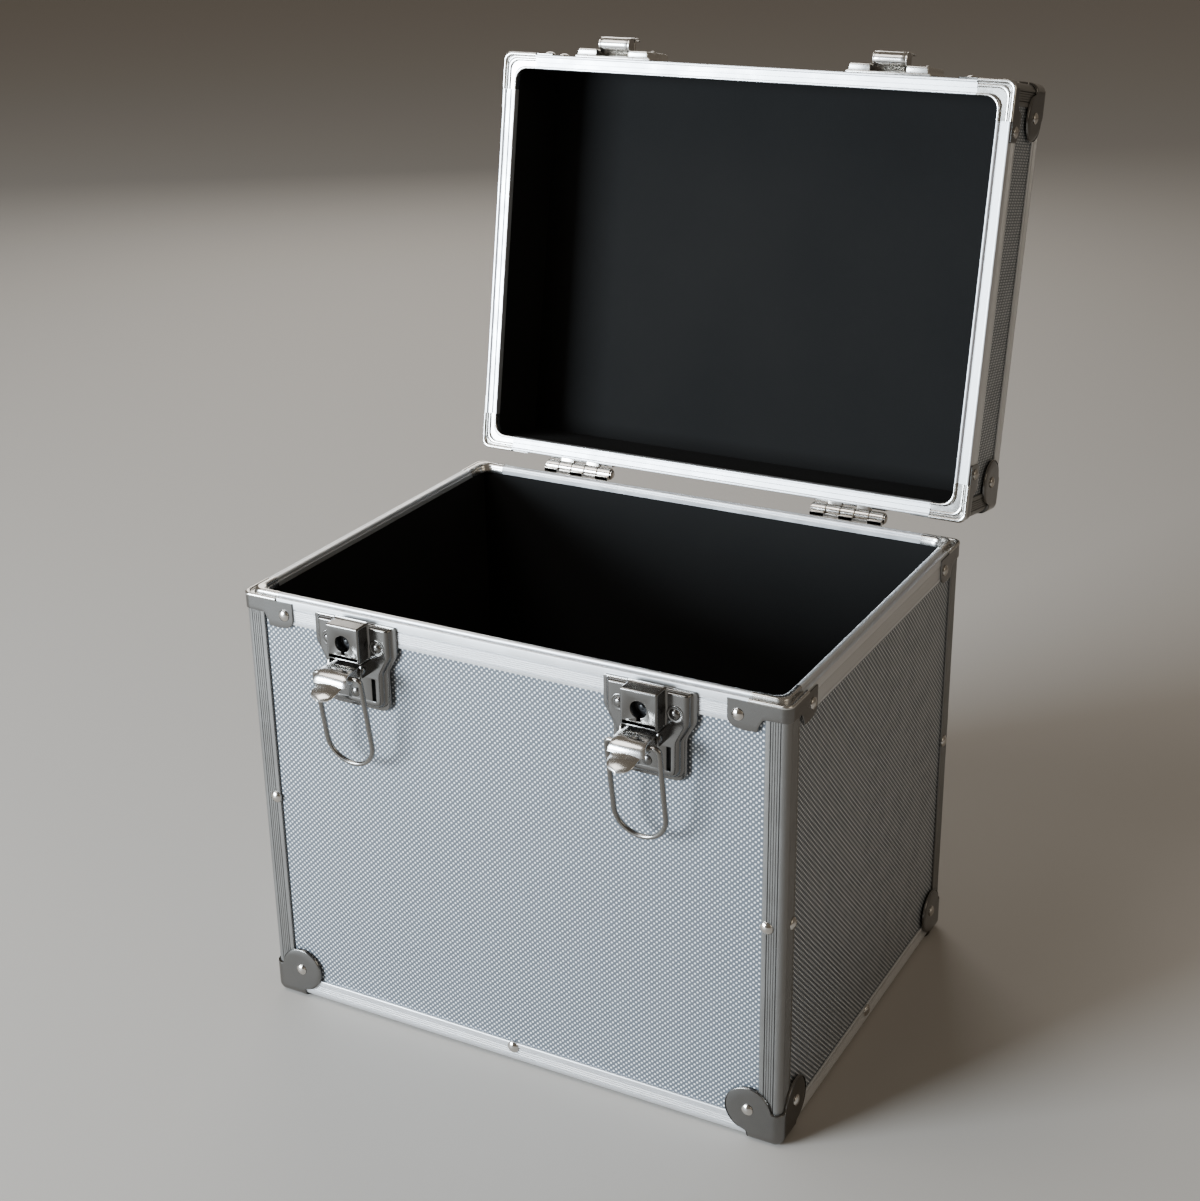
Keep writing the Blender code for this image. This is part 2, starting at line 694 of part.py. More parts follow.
def ball_corner(up, is_on_lid):
    """The front left ball corner of the body (up = 1) or of the lid (up = -1), about its corner."""
    outline, size = ball_outline()

    def shell_block(skin, radius):
        ends = sorted((up * skin, up * size))

        def is_square(middle):
            planes = (abs(middle.x - skin), abs(middle.y - skin), abs(middle.z - up * skin))
            return sum(plane < CLEARANCE for plane in planes) < 2

        return rounded_block((skin, skin, ends[0]), (size, size, ends[1]), radius, is_square)

    outer_skin = -CLEARANCE - BALL_SKIN
    shell = shell_block(outer_skin, EDGE_RADIUS - outer_skin)
    cut(shell, shell_block(SKIN_IN, EDGE_RADIUS - SKIN_IN))
    low = outer_skin - OVERRUN
    keep = prism(outline, low, EDGE_RADIUS, lambda a, b, c: (a, c, up * b))
    side = prism(outline, low, EDGE_RADIUS, lambda a, b, c: (c, a, up * b))
    base = prism(outline, low, EDGE_RADIUS, lambda a, b, c: (a, b, up * c))
    joined(keep, side, base)
    combined(shell, [keep], "INTERSECT")
    rivets = corner_rivets(CORNER_RIVET_RADIUS, CORNER_RIVET_RISE, BALL_CENTRE, up * BALL_CENTRE, outer_skin)
    if is_on_lid:

        def flat(a, b, height):
            return (BALL_CENTRE + a, BALL_CENTRE + b, up * (outer_skin - height))

        rivets.append(rivet(CORNER_RIVET_RADIUS, CORNER_RIVET_RISE, flat))
    return joined(shell, *rivets)


def make_ball_corners(chrome, pivot_lid):
    """Four ball corners under the body, which it stands on, and four on the lid."""
    copies(ball_corner(1, False), "ball_corner", chrome, BASE_FACE, None)
    copies(ball_corner(-1, True), "lid_ball_corner", chrome, LID_FACE, pivot_lid)


# Waisted outline of a latch's base plate: shares of its half width and of its height
PLATE_SHARES = (
    (1.00, 0.00),
    (1.00, 0.20),
    (0.98, 0.36),
    (0.88, 0.46),
    (0.80, 0.56),
    (0.78, 0.90),
    (0.70, 0.97),
    (0.40, 1.00),
)


def plate_outline(width, height, top):
    """The waisted outline, mirrored about the plate's middle."""
    right = [(across * width / 2, top - down * height) for across, down in PLATE_SHARES]
    return right + [(-across, rise) for across, rise in reversed(right)]


def front_places(centre):
    """Places a latch's shapes: on the front face, and as a side profile carried across."""

    def on_face(across, rise, reach):
        return (centre + across, -END_FACE - reach, SEAM_HEIGHT + rise)

    def from_side(reach, rise, across):
        return (centre + across, -END_FACE - reach, SEAM_HEIGHT + rise)

    return on_face, from_side


def latch_plate(centre):
    """The pressed base plate with its lock housing, ears, rivets and the lever's pin."""
    on_face, from_side = front_places(centre)
    flange_low = -RIM_FLANGE - CLEARANCE
    plate = prism(plate_outline(PLATE_WIDTH, PLATE_HEIGHT, -PLATE_TOP), CLEARANCE, PLATE_FLANGE, on_face)
    foot_outline = [
        (across, min(rise, flange_low))
        for across, rise in plate_outline(PLATE_WIDTH, PLATE_HEIGHT, -PLATE_TOP)
        if rise < flange_low
    ]
    foot = prism(foot_outline, CLEARANCE - BOARD_FACE, PLATE_FLANGE / 2, on_face)
    pan_top = -PLATE_TOP - (PLATE_HEIGHT - PLATE_PAN_HEIGHT) / 2
    pan_outline = plate_outline(PLATE_PAN_WIDTH, PLATE_PAN_HEIGHT, pan_top)
    pan = prism(pan_outline, PLATE_FLANGE / 2, PLATE_PAN_RISE, on_face)
    housing_low = -HOUSING_TOP - HOUSING_HEIGHT
    housing_ends = ((-HOUSING_WIDTH / 2, -HOUSING_TOP), (HOUSING_WIDTH / 2, -HOUSING_TOP))
    housing_ends += ((HOUSING_WIDTH / 2, housing_low), (-HOUSING_WIDTH / 2, housing_low))
    shrink = 1 - 2 * HOUSING_EDGE / HOUSING_WIDTH
    middle = (housing_low - HOUSING_TOP) / 2
    inner_ends = [(a * shrink, middle + (b - middle) * shrink) for a, b in housing_ends]
    housing = prism(housing_ends, PLATE_FLANGE, HOUSING_REACH - HOUSING_EDGE, on_face)
    housing_face = prism(inner_ends, PLATE_FLANGE, HOUSING_REACH, on_face)
    shapes = [foot, pan, housing, housing_face]
    ear_place = LEVER_WIDTH / 2 + CLEARANCE
    ear_rise = -LEVER_PIN_DROP
    ear_low = ear_rise - EAR_HEIGHT / 2
    ear_high = ear_rise + EAR_HEIGHT / 2
    ear = [
        (PLATE_FLANGE, ear_high),
        (EAR_REACH - EAR_WALL, ear_high),
        (EAR_REACH, ear_rise + EAR_TIP / 2),
        (EAR_REACH, ear_rise - EAR_TIP / 2),
        (EAR_REACH - EAR_WALL, ear_low),
        (PLATE_FLANGE, ear_low),
    ]
    for sign in (-1, 1):
        ends = sorted((sign * ear_place, sign * (ear_place + EAR_WALL)))
        shapes.append(prism(ear, ends[0], ends[1], from_side))

    def pin_place(a, b, across):
        return from_side(LEVER_PIN_REACH + a, -LEVER_PIN_DROP + b, across)

    pin_half = ear_place + EAR_WALL + CLEARANCE
    pin_profile = [(LEVER_PIN_RADIUS, -pin_half), (LEVER_PIN_RADIUS, pin_half)]
    shapes.append(turned(pin_profile, pin_place, ROUND_STEPS))
    spots = [(sign * LATCH_RIVET_SPACING / 2, -LATCH_RIVET_DROP) for sign in (-1, 1)]
    for across, rise in spots + [(0, -LATCH_LOW_RIVET_DROP)]:

        def dome(a, b, reach, x=across, z=rise):
            return on_face(x + a, z + b, PLATE_PAN_RISE + reach)

        shapes.append(rivet(LATCH_RIVET_RADIUS, LATCH_RIVET_RISE, dome))
    joined(plate, *shapes)

    def keyhole_place(a, b, reach):
        return on_face(a, b - KEYHOLE_DROP, reach)

    key_levels = (HOUSING_REACH - KEYHOLE_DEPTH, HOUSING_REACH + OVERRUN)
    barrel = [(KEYHOLE_RADIUS, level) for level in key_levels]
    slit_half = KEYHOLE_SLIT_WIDTH / 2
    slit_low = -KEYHOLE_SLIT_LENGTH
    slit = [(-slit_half, 0), (slit_half, 0), (slit_half, slit_low), (-slit_half, slit_low)]
    bay_half = BOLT_WIDTH / 2 + CLEARANCE
    bay_top = housing_low + BOLT_LENGTH + 2 * CLEARANCE
    bay_ends = [(-bay_half, housing_low - OVERRUN), (bay_half, housing_low - OVERRUN)]
    bay_ends += [(bay_half, bay_top), (-bay_half, bay_top)]
    bay = prism(bay_ends, BOLT_PLACE - CLEARANCE, BOLT_PLACE + BOLT_THICKNESS + CLEARANCE, on_face)
    slot_half = FRONT_SLOT_WIDTH / 2
    slot_low = housing_low + FRONT_SLOT_RISE
    slot_high = slot_low + FRONT_SLOT_HEIGHT
    slot_ends = [(-slot_half, slot_low), (slot_half, slot_low)]
    slot_ends += [(slot_half, slot_high), (-slot_half, slot_high)]
    front_slot = prism(slot_ends, BOLT_PLACE + BOLT_THICKNESS, HOUSING_REACH + OVERRUN, on_face)
    cutters = [turned(barrel, keyhole_place, KEYHOLE_STEPS), bay, front_slot]
    cutters.append(prism(slit, key_levels[0], key_levels[1], keyhole_place))
    ear_end = ear_place + EAR_WALL
    lance_low = -PLATE_SLOT_DROP - PLATE_SLOT_HEIGHT / 2
    for sign in (-1, 1):
        low, high = sorted((sign * (ear_end + CLEARANCE), sign * (ear_end + PLATE_SLOT_WIDTH)))
        lance = [(low, lance_low), (high, lance_low)]
        lance += [(high, lance_low + PLATE_SLOT_HEIGHT), (low, lance_low + PLATE_SLOT_HEIGHT)]
        cutters.append(prism(lance, PLATE_FLANGE, PLATE_PAN_RISE + OVERRUN, on_face))
    cut(plate, *cutters)
    post_levels = (key_levels[0] - CLEARANCE, HOUSING_REACH - HOUSING_EDGE)
    post = [(KEYHOLE_POST_RADIUS, level) for level in post_levels]
    return joined(plate, turned(post, keyhole_place, RIVET_STEPS))


def lever_shape():
    """The thumb lever about its own pin, as it stands half open: reach outwards, rise upwards."""

    def from_side(reach, rise, across):
        return (across, -reach, rise)

    barrel_place = LEVER_BARREL_RADIUS
    web_end = LEVER_WEB_LENGTH
    curl_end = barrel_place - LEVER_CURL
    tongue_end = web_end + LEVER_TONGUE_LENGTH
    tongue_fall = curl_end - LEVER_TONGUE_FALL
    slope = [(web_end * along, barrel_place * up) for along, up in LEVER_TOP_SHARES]
    top = [(-CLEARANCE, barrel_place - CLEARANCE)] + slope + [(web_end, curl_end + LEVER_WALL)]
    under = []
    for (reach, rise), lean in zip(top, LEVER_LEAN_SHARES):
        under.append((reach - LEVER_WALL * lean, rise - LEVER_WALL))
    half = LEVER_WIDTH / 2
    web = prism(top + under[::-1], -half, half, from_side)
    overlap = web_end - 2 * LEVER_WALL
    tongue_profile = [
        (overlap, curl_end + LEVER_WALL),
        (web_end, curl_end + LEVER_WALL),
        ((web_end + tongue_end) / 2, (curl_end + LEVER_WALL + tongue_fall) / 2),
        (tongue_end, tongue_fall + LEVER_WALL / 2),
        (tongue_end, tongue_fall - LEVER_WALL / 2),
        ((web_end + tongue_end) / 2, (curl_end + LEVER_WALL + tongue_fall) / 2 - LEVER_WALL),
        (web_end, curl_end),
        (overlap, curl_end),
    ]
    tongue_half = LEVER_TONGUE_WIDTH / 2
    tongue = prism(tongue_profile, -tongue_half, tongue_half, from_side)
    barrel_half = half - LEVER_CHEEK_WALL / 2
    barrel = turned([(barrel_place, -barrel_half), (barrel_place, barrel_half)], from_side, ROUND_STEPS)
    shapes = [tongue, barrel]
    eye_reach = BAIL_PIVOT_REACH - LEVER_PIN_REACH
    eye_rise = LEVER_PIN_DROP - BAIL_PIVOT_DROP
    cheek = [(CLEARANCE, CLEARANCE - barrel_place), (0, barrel_place - LEVER_WALL / 2)]
    cheek += [(reach, rise - LEVER_WALL / 2) for reach, rise in slope[:-1]]
    cheek += [(eye_reach + BAIL_EYE_RADIUS, eye_rise)]
    cheek += arc(eye_reach, eye_rise, BAIL_EYE_RADIUS, *BAIL_EYE_SWEEP, BAIL_EYE_STEPS)
    for sign in (-1, 1):
        ends = sorted((sign * (half - CLEARANCE), sign * (half - LEVER_CHEEK_WALL)))
        shapes.append(prism(cheek, ends[0], ends[1], from_side))
    # At rest the tail hangs below the barrel. With the lever shut it points at the case.
    turn = LEVER_TRAVEL
    tail_half = LEVER_TAIL_WIDTH / 2
    tail_box = [
        (-LEVER_TAIL_REACH, -LEVER_TAIL_THICKNESS / 2),
        (-LEVER_PIN_RADIUS - 2 * CLEARANCE, -LEVER_TAIL_THICKNESS / 2),
        (-LEVER_PIN_RADIUS - 2 * CLEARANCE, LEVER_TAIL_THICKNESS / 2),
        (-LEVER_TAIL_REACH, LEVER_TAIL_THICKNESS / 2),
    ]

    def opened(reach, rise):
        return (
            reach * math.cos(turn) - rise * math.sin(turn),
            reach * math.sin(turn) + rise * math.cos(turn),
        )

    shapes.append(prism([opened(*point) for point in tail_box], -tail_half, tail_half, from_side))
    lever = joined(web, *shapes)
    slot_near = BOLT_PLACE - LEVER_PIN_REACH - CLEARANCE
    slot_far = slot_near + BOLT_THICKNESS + 2 * CLEARANCE
    tall = LEVER_TAIL_THICKNESS
    slot_box = [(slot_near, -tall), (slot_far, -tall), (slot_far, tall), (slot_near, tall)]
    slot_half = BOLT_WIDTH / 2 + CLEARANCE
    bolt_slot = prism([opened(*point) for point in slot_box], -slot_half, slot_half, from_side)
    bore = LEVER_PIN_RADIUS + CLEARANCE
    reach = half + OVERRUN
    pin_bore = turned([(bore, -reach), (bore, reach)], from_side, ROUND_STEPS)
    eye = BAIL_WIRE_RADIUS + CLEARANCE

    def eye_place(a, b, across):
        return from_side(eye_reach + a, eye_rise + b, across)

    eye_bore = turned([(eye, -reach), (eye, reach)], eye_place, ROUND_STEPS)
    return cut(lever, bolt_slot, pin_bore, eye_bore)


def bail_curve(name):
    """The wire bail about its pivot, hanging straight down: inward ends, two legs and a half round."""
    half = BAIL_WIDTH / 2
    bend = BAIL_BEND_RADIUS
    points = [(half - BAIL_STUB, 0)]
    points += arc(half - bend, -bend, bend, 90, 0, BAIL_BEND_STEPS)
    straight_end = half - BAIL_LENGTH
    points += arc(0, straight_end, half, 0, -90, BAIL_LOOP_STEPS)
    points += [(-across, rise) for across, rise in reversed(points[:-1])]
    curve = bpy.data.curves.new(name, "CURVE")
    curve.dimensions = "3D"
    curve.bevel_depth = BAIL_WIRE_RADIUS
    curve.bevel_resolution = 2
    curve.use_fill_caps = True
    spline = curve.splines.new("POLY")
    spline.points.add(len(points) - 1)
    for spot, (across, rise) in zip(spline.points, points):
        spot.co = (across, 0, rise, 1)
    return curve


def make_latches(chrome, steel):
    """Two draw latches: base plate, thumb lever, wire bail and lock bolt."""
    lever_mesh = lever_shape()
    for side, sign in (("left", -1), ("right", 1)):
        centre = sign * LATCH_PLACE
        plate_origin = (centre, -END_FACE, SEAM_HEIGHT - LEVER_PIN_DROP)
        named(latch_plate(centre), f"latch_plate_{side}", chrome, plate_origin)
        lever_spot = (centre, -END_FACE - LEVER_PIN_REACH, SEAM_HEIGHT - LEVER_PIN_DROP)
        placed(lever_mesh.data.copy(), f"latch_lever_{side}", chrome, lever_spot)
        curve = bail_curve(f"latch_bail_{side}")
        curve.materials.append(steel)
        bail = bpy.data.objects.new(f"latch_bail_{side}", curve)
        bpy.context.scene.collection.objects.link(bail)
        bail.location = (centre, -END_FACE - BAIL_PIVOT_REACH, SEAM_HEIGHT - BAIL_PIVOT_DROP)
        bail.rotation_euler = (BAIL_LEAN, 0, 0)
        on_face, _ = front_places(centre)
        low = -HOUSING_TOP - HOUSING_HEIGHT + CLEARANCE
        high = low + BOLT_LENGTH
        half = BOLT_WIDTH / 2
        outline = [(-half, low), (half, low), (half, high), (-half, high)]
        bolt = prism(outline, BOLT_PLACE, BOLT_PLACE + BOLT_THICKNESS, on_face)
        bolt_spot = (centre, -END_FACE - BOLT_PLACE, SEAM_HEIGHT + low)
        named(bolt, f"lock_bolt_{side}", steel, bolt_spot)
    bpy.data.objects.remove(lever_mesh)


def make_keepers(chrome, pivot_lid):
    """Two keepers on the lid's front, each a raised plate with a rolled hook for the bail."""
    for side, sign in (("left", -1), ("right", 1)):
        centre = sign * LATCH_PLACE
        on_face, from_side = front_places(centre)

        def slab(half, low, high, near, far):
            return prism([(-half, low), (half, low), (half, high), (-half, high)], near, far, on_face)

        flange_high = RIM_FLANGE + CLEARANCE
        top = KEEPER_LIFT + KEEPER_HEIGHT
        keeper = slab(KEEPER_WIDTH / 2, KEEPER_LIFT, top, CLEARANCE, PLATE_FLANGE)
        foot = slab(KEEPER_WIDTH / 2, flange_high, top, CLEARANCE - BOARD_FACE, PLATE_FLANGE / 2)
        pan_low = KEEPER_LIFT + PLATE_FLANGE / 2
        pan = slab(KEEPER_PAN_WIDTH / 2, pan_low, KEEPER_PAN_TOP, PLATE_FLANGE / 2, KEEPER_PAN_RISE)
        joined(keeper, foot, pan)
        notch = slab(KEEPER_NOTCH_WIDTH / 2, 0, KEEPER_NOTCH_HEIGHT, PLATE_FLANGE, KEEPER_PAN_RISE + OVERRUN)
        cut(keeper, notch)
        seat_low = HOOK_SEAT - HOOK_THICKNESS
        lip_far = HOOK_LIP_PLACE + HOOK_LIP_THICKNESS
        hook = [
            (PLATE_FLANGE / 2, seat_low),
            (lip_far - HOOK_LIP_THICKNESS / 2, seat_low),
            (lip_far, seat_low + HOOK_LIP_THICKNESS / 2),
            (lip_far, HOOK_ROLL_RISE),
            (HOOK_LIP_PLACE, HOOK_ROLL_RISE),
            (HOOK_LIP_PLACE, HOOK_SEAT),
            (PLATE_FLANGE / 2, HOOK_SEAT),
        ]
        half = HOOK_WIDTH / 2

        def roll_place(a, b, across):
            return from_side(HOOK_LIP_PLACE + HOOK_ROLL_RADIUS + a, HOOK_ROLL_RISE + b, across)

        roll = turned([(HOOK_ROLL_RADIUS, -half), (HOOK_ROLL_RADIUS, half)], roll_place, ROUND_STEPS)
        joined(keeper, prism(hook, -half, half, from_side), roll)
        rivets = []
        for across in (-1, 1):

            def dome(a, b, reach, x=across * LATCH_RIVET_SPACING / 2):
                return on_face(x + a, (KEEPER_NOTCH_HEIGHT + KEEPER_PAN_TOP) / 2 + b, KEEPER_PAN_RISE + reach)

            rivets.append(rivet(LATCH_RIVET_RADIUS, LATCH_RIVET_RISE, dome))
        joined(keeper, *rivets)
        named(keeper, f"keeper_{side}", chrome, (centre, -END_FACE, SEAM_HEIGHT), pivot_lid)


def hinge_leaf(centre, up):
    """A hinge's body leaf (up = -1) or lid leaf (up = 1), with its knuckles and rivets."""
    half = HINGE_WIDTH / 2
    leaf_end = HINGE_RISE + up * HINGE_LEAF_HEIGHT

    def on_face(across, rise, out):
        return (centre + across, END_FACE + out, SEAM_HEIGHT + rise)

    def about_axis(a, b, across):
        return (centre + across, END_FACE + HINGE_REACH + a, SEAM_HEIGHT + HINGE_RISE + b)

    def slab(near_rise, far_rise, near, far):
        low, high = sorted((near_rise, far_rise))
        return prism([(-half, low), (half, low), (half, high), (-half, high)], near, far, on_face)

    start = HINGE_RISE + up * CLEARANCE
    leaf = slab(start, leaf_end, CLEARANCE, CLEARANCE + HINGE_LEAF)
    flange_end = up * (RIM_FLANGE + CLEARANCE)
    foot = slab(flange_end, leaf_end, CLEARANCE - BOARD_FACE, CLEARANCE + HINGE_LEAF / 2)
    shapes = [foot]
    pitch = HINGE_WIDTH / KNUCKLES
    for number in range(KNUCKLES):
        if (number % 2 == 0) != (up < 0):
            continue
        low = number * pitch - half + (CLEARANCE / 2 if number else 0)
        high = (number + 1) * pitch - half - (CLEARANCE / 2 if number < KNUCKLES - 1 else 0)
        profile = [(HINGE_BARREL_RADIUS, low), (HINGE_BARREL_RADIUS, high)]
        shapes.append(turned(profile, about_axis, ROUND_STEPS))
        neck_far = CLEARANCE - HINGE_REACH
        neck = [
            (neck_far, 0),
            (0, 0),
            (0, up * HINGE_NECK),
            (neck_far, up * 2 * HINGE_NECK),
        ]
        shapes.append(prism(neck, low, high, about_axis))
    for across in (HINGE_RIVET_INSET - half, half - HINGE_RIVET_INSET):
        for reach in (HINGE_RIVET_LOW, HINGE_RIVET_HIGH):

            def dome(a, b, out, x=across, z=HINGE_RISE + up * reach):
                return on_face(x + a, z + b, CLEARANCE + HINGE_LEAF + out)

            shapes.append(rivet(HINGE_RIVET_RADIUS, HINGE_RIVET_RISE, dome))
    if up < 0:
        lug_top = HINGE_REACH - CLEARANCE - HINGE_LEAF - CLEARANCE
        lug = [(0, 0), (STOP_LUG_REACH, 0), (STOP_LUG_REACH, lug_top)]
        lug += [(STOP_LUG_REACH - STOP_LUG_DEPTH, lug_top), (0, HINGE_NECK)]
        lean = LID_OPEN_ANGLE - math.pi / 2
        spun = []
        for a, b in lug:
            turned_a = a * math.cos(lean) + b * math.sin(lean)
            turned_b = b * math.cos(lean) - a * math.sin(lean)
            spun.append((turned_a, turned_b))
        shapes.append(prism(spun, -STOP_LUG_WIDTH / 2, STOP_LUG_WIDTH / 2, about_axis))
    joined(leaf, *shapes)
    bore = HINGE_PIN_RADIUS + CLEARANCE
    span = half + OVERRUN
    return cut(leaf, turned([(bore, -span), (bore, span)], about_axis, ROUND_STEPS))


def make_hinges(steel, pivot_lid):
    """Two rear hinges, each a body leaf, a lid leaf and a headed pin."""
    for side, sign in (("left", -1), ("right", 1)):
        centre = sign * HINGE_PLACE
        spot = (centre, PIVOT.y, PIVOT.z)
        named(hinge_leaf(centre, -1), f"hinge_body_leaf_{side}", steel, spot)
        named(hinge_leaf(centre, 1), f"hinge_lid_leaf_{side}", steel, spot, pivot_lid)
        half = HINGE_WIDTH / 2 + CLEARANCE
        profile = [
            (HINGE_PIN_HEAD_RADIUS, -half - HINGE_PIN_HEAD),
            (HINGE_PIN_HEAD_RADIUS, -half),
            (HINGE_PIN_RADIUS, -half),
            (HINGE_PIN_RADIUS, half),
            (HINGE_PIN_HEAD_RADIUS, half),
            (HINGE_PIN_HEAD_RADIUS, half + HINGE_PIN_HEAD),
        ]
        pin = turned(profile, lambda a, b, across: (centre + across, PIVOT.y + a, PIVOT.z + b), ROUND_STEPS)
        named(pin, f"hinge_pin_{side}", steel, spot)


def make_handle(plastic, chrome, pivot_lid):
    """The carrying handle: a base with two posts and pins, and a grip folded down to the rear."""
    floor = LID_FACE - BOARD_FACE + CLEARANCE
    axis = floor + HANDLE_AXIS_RISE
    base_high = floor + HANDLE_BASE_THICKNESS
    length = HANDLE_BASE_LENGTH / 2
    width = HANDLE_BASE_WIDTH / 2
    base = block((-length, -width, floor), (length, width, base_high))
    shapes = []
    post_half = HANDLE_POST_WIDTH / 2
    inner = HANDLE_POST_SPACING / 2 - HANDLE_POST_THICKNESS / 2
    outer = HANDLE_POST_SPACING / 2 + HANDLE_POST_THICKNESS / 2
    outline = [(-post_half, floor + CLEARANCE), (post_half, floor + CLEARANCE)]
    outline += arc(0, axis, post_half, 0, 180, ARC_STEPS)

    def across_case(y, z, along):
        return (along, y, z)

    def about_axis(a, b, along):
        return (along, a, axis + b)

    for sign in (-1, 1):
        low, high = sorted((sign * inner, sign * outer))
        shapes.append(prism(outline, low, high, across_case))
        low, high = sorted((sign * (inner + CLEARANCE), sign * (inner - HANDLE_PIN_LENGTH)))
        pin = [(HANDLE_PIN_RADIUS, low), (HANDLE_PIN_RADIUS, high)]
        shapes.append(turned(pin, about_axis, ROUND_STEPS))
    named(joined(base, *shapes), "handle_base", chrome, (0, 0, floor), pivot_lid)
    arm_out = inner - CLEARANCE
    arm_in = arm_out - HANDLE_ARM_WALL
    arm_half = HANDLE_ARM_WIDTH / 2
    arm = arc(0, axis, arm_half, 270, 90, ARC_STEPS)
    arm += [(HANDLE_REACH, axis + arm_half), (HANDLE_REACH, axis - arm_half)]
    bar_profile = [(HANDLE_BAR_RADIUS, -arm_out), (HANDLE_BAR_RADIUS, arm_out)]
    grip = turned(bar_profile, lambda a, b, along: (along, HANDLE_REACH + a, axis + b), HANDLE_BAR_STEPS)
    arms = [prism(arm, sign * arm_in, sign * arm_out, across_case) for sign in (-1, 1)]
    joined(grip, *arms)
    bore = HANDLE_PIN_RADIUS + CLEARANCE
    span = arm_out + OVERRUN
    cut(grip, turned([(bore, -span), (bore, span)], about_axis, ROUND_STEPS))
    named(grip, "handle_grip", plastic, (0, 0, axis), pivot_lid)


for leftover in list(bpy.data.objects):
    bpy.data.objects.remove(leftover)

embossed_skin = finish("embossed_skin", (0.72, 0.73, 0.75), 0.35, 0.7)
bare_board = finish("bare_board", (0.05, 0.05, 0.05), 0.7, 0.0)
satin_aluminium = finish("satin_aluminium", (0.78, 0.79, 0.80), 0.3, 1.0)
bright_chrome = finish("bright_chrome", (0.80, 0.79, 0.77), 0.08, 1.0)
bright_steel = finish("bright_steel", (0.66, 0.65, 0.63), 0.15, 1.0)
black_lining = finish("black_lining", (0.012, 0.012, 0.013), 0.95, 0.0)
black_plastic = finish("black_plastic", (0.02, 0.02, 0.022), 0.4, 0.0)

lid_pivot = pivot("lid_pivot", PIVOT)
make_panels(embossed_skin, bare_board, lid_pivot)
make_linings(black_lining, lid_pivot)
make_posts(satin_aluminium)
make_base_frame(satin_aluminium)
make_lid_frame(satin_aluminium, lid_pivot)
make_rims(satin_aluminium, lid_pivot)
make_rim_corners(bright_chrome, lid_pivot)
make_ball_corners(bright_chrome, lid_pivot)
make_latches(bright_chrome, bright_steel)
make_keepers(bright_chrome, lid_pivot)
make_hinges(bright_steel, lid_pivot)
make_handle(black_plastic, bright_chrome, lid_pivot)
lid_pivot.rotation_euler = (-LID_OPEN_ANGLE, 0, 0)
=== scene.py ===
"""Looks of the aluminium-framed record carrying case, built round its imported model.

Metres. +X is the case's right seen from the front, -Y its front, +Z up. The origin is the
centre of the base board's underside, and the floor is 3 mm lower.
"""

import math

import bmesh
import bpy
import numpy as np
from mathutils import Matrix, Vector
from mathutils.geometry import tessellate_polygon


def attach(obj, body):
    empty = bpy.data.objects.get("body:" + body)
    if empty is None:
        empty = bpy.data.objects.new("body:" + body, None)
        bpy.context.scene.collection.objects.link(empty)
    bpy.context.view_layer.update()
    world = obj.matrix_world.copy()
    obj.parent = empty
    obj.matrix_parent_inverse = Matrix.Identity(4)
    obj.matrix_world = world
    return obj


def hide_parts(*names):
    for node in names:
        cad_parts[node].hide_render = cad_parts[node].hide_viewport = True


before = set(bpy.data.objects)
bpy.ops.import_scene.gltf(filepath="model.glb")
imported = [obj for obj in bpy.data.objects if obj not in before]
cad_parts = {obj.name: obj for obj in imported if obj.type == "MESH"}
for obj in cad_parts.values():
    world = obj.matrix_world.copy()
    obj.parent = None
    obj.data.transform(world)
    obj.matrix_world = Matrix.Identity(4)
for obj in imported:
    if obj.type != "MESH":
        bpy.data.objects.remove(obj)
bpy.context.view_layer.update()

# Boards: fibreboard faced with a silver skin that is embossed with small raised dots in
# staggered rows. The base board is bare and black. They slide into the aluminium edges.
CASE_WIDTH = 0.356
CASE_DEPTH = 0.270
SEAM = 0.2798
LID_TOP = 0.3468
LID_TURN = math.radians(-100.4)
LID_AXIS = np.array([0.0, 0.1415, 0.2828])
WALLS = (("front", "front"), ("rear", "front"), ("left", "side"), ("right", "side"))
SKIN_AXES = {"front": ("X", "Z"), "side": ("Y", "Z"), "top": ("X", "Y")}
DOT_PITCH = 0.00173
DOT_HEIGHT = 0.00012
DOT_EDGE = (0.15, 0.95)
SKIN_GROUND = (0.115, 0.13, 0.15, 1)
# The dots are painted near white over the darker ground: a painted highlight on each raised dot.
SKIN_DOT_HIGHLIGHT = (0.96, 0.98, 1.0, 1)
SKIN_ROUGHNESS = (0.34, 0.44)
BOARD_TONES = ((0.012, 0.012, 0.012, 1), (0.045, 0.043, 0.04, 1))
SMUDGE_EDGE = (0.35, 0.7)
SCRATCHES = ((240, (1, 14, 9), 0.62), (260, (12, 1.5, 2), 0.64))
SCRATCH_FADE = 0.1
FLOAT = "NodeSocketFloat"
MIX_FIRST, MIX_SECOND, MIX_RESULT = 6, 7, 2


def socketed_group(name, inputs, outputs):
    """An empty shader group with sockets {title: type}, and the sockets inside its two ends."""
    group = bpy.data.node_groups.new(name, "ShaderNodeTree")
    for way, sockets in (("INPUT", inputs), ("OUTPUT", outputs)):
        for title, kind in sockets.items():
            group.interface.new_socket(title, in_out=way, socket_type=kind)
    given = group.nodes.new("NodeGroupInput")
    return group, given.outputs, group.nodes.new("NodeGroupOutput").inputs


def fed(tree, socket, value):
    """Links another socket to an input, or writes a number or colour into it."""
    if isinstance(value, bpy.types.NodeSocket):
        tree.links.new(value, socket)
    elif value is not None:
        socket.default_value = value


def fitted(tree, kind, **inputs):
    """A shader node with its inputs fed. An underscore stands for the space in a title."""
    node = tree.nodes.new(kind)
    for title, value in inputs.items():
        fed(tree, node.inputs[title.replace("_", " ")], value)
    return node


def calculated(tree, operation, *values):
    """A Math node. Each value is a socket or a number."""
    node = tree.nodes.new("ShaderNodeMath")
    node.operation = operation
    for socket, value in zip(node.inputs, values):
        fed(tree, socket, value)
    return node.outputs[0]


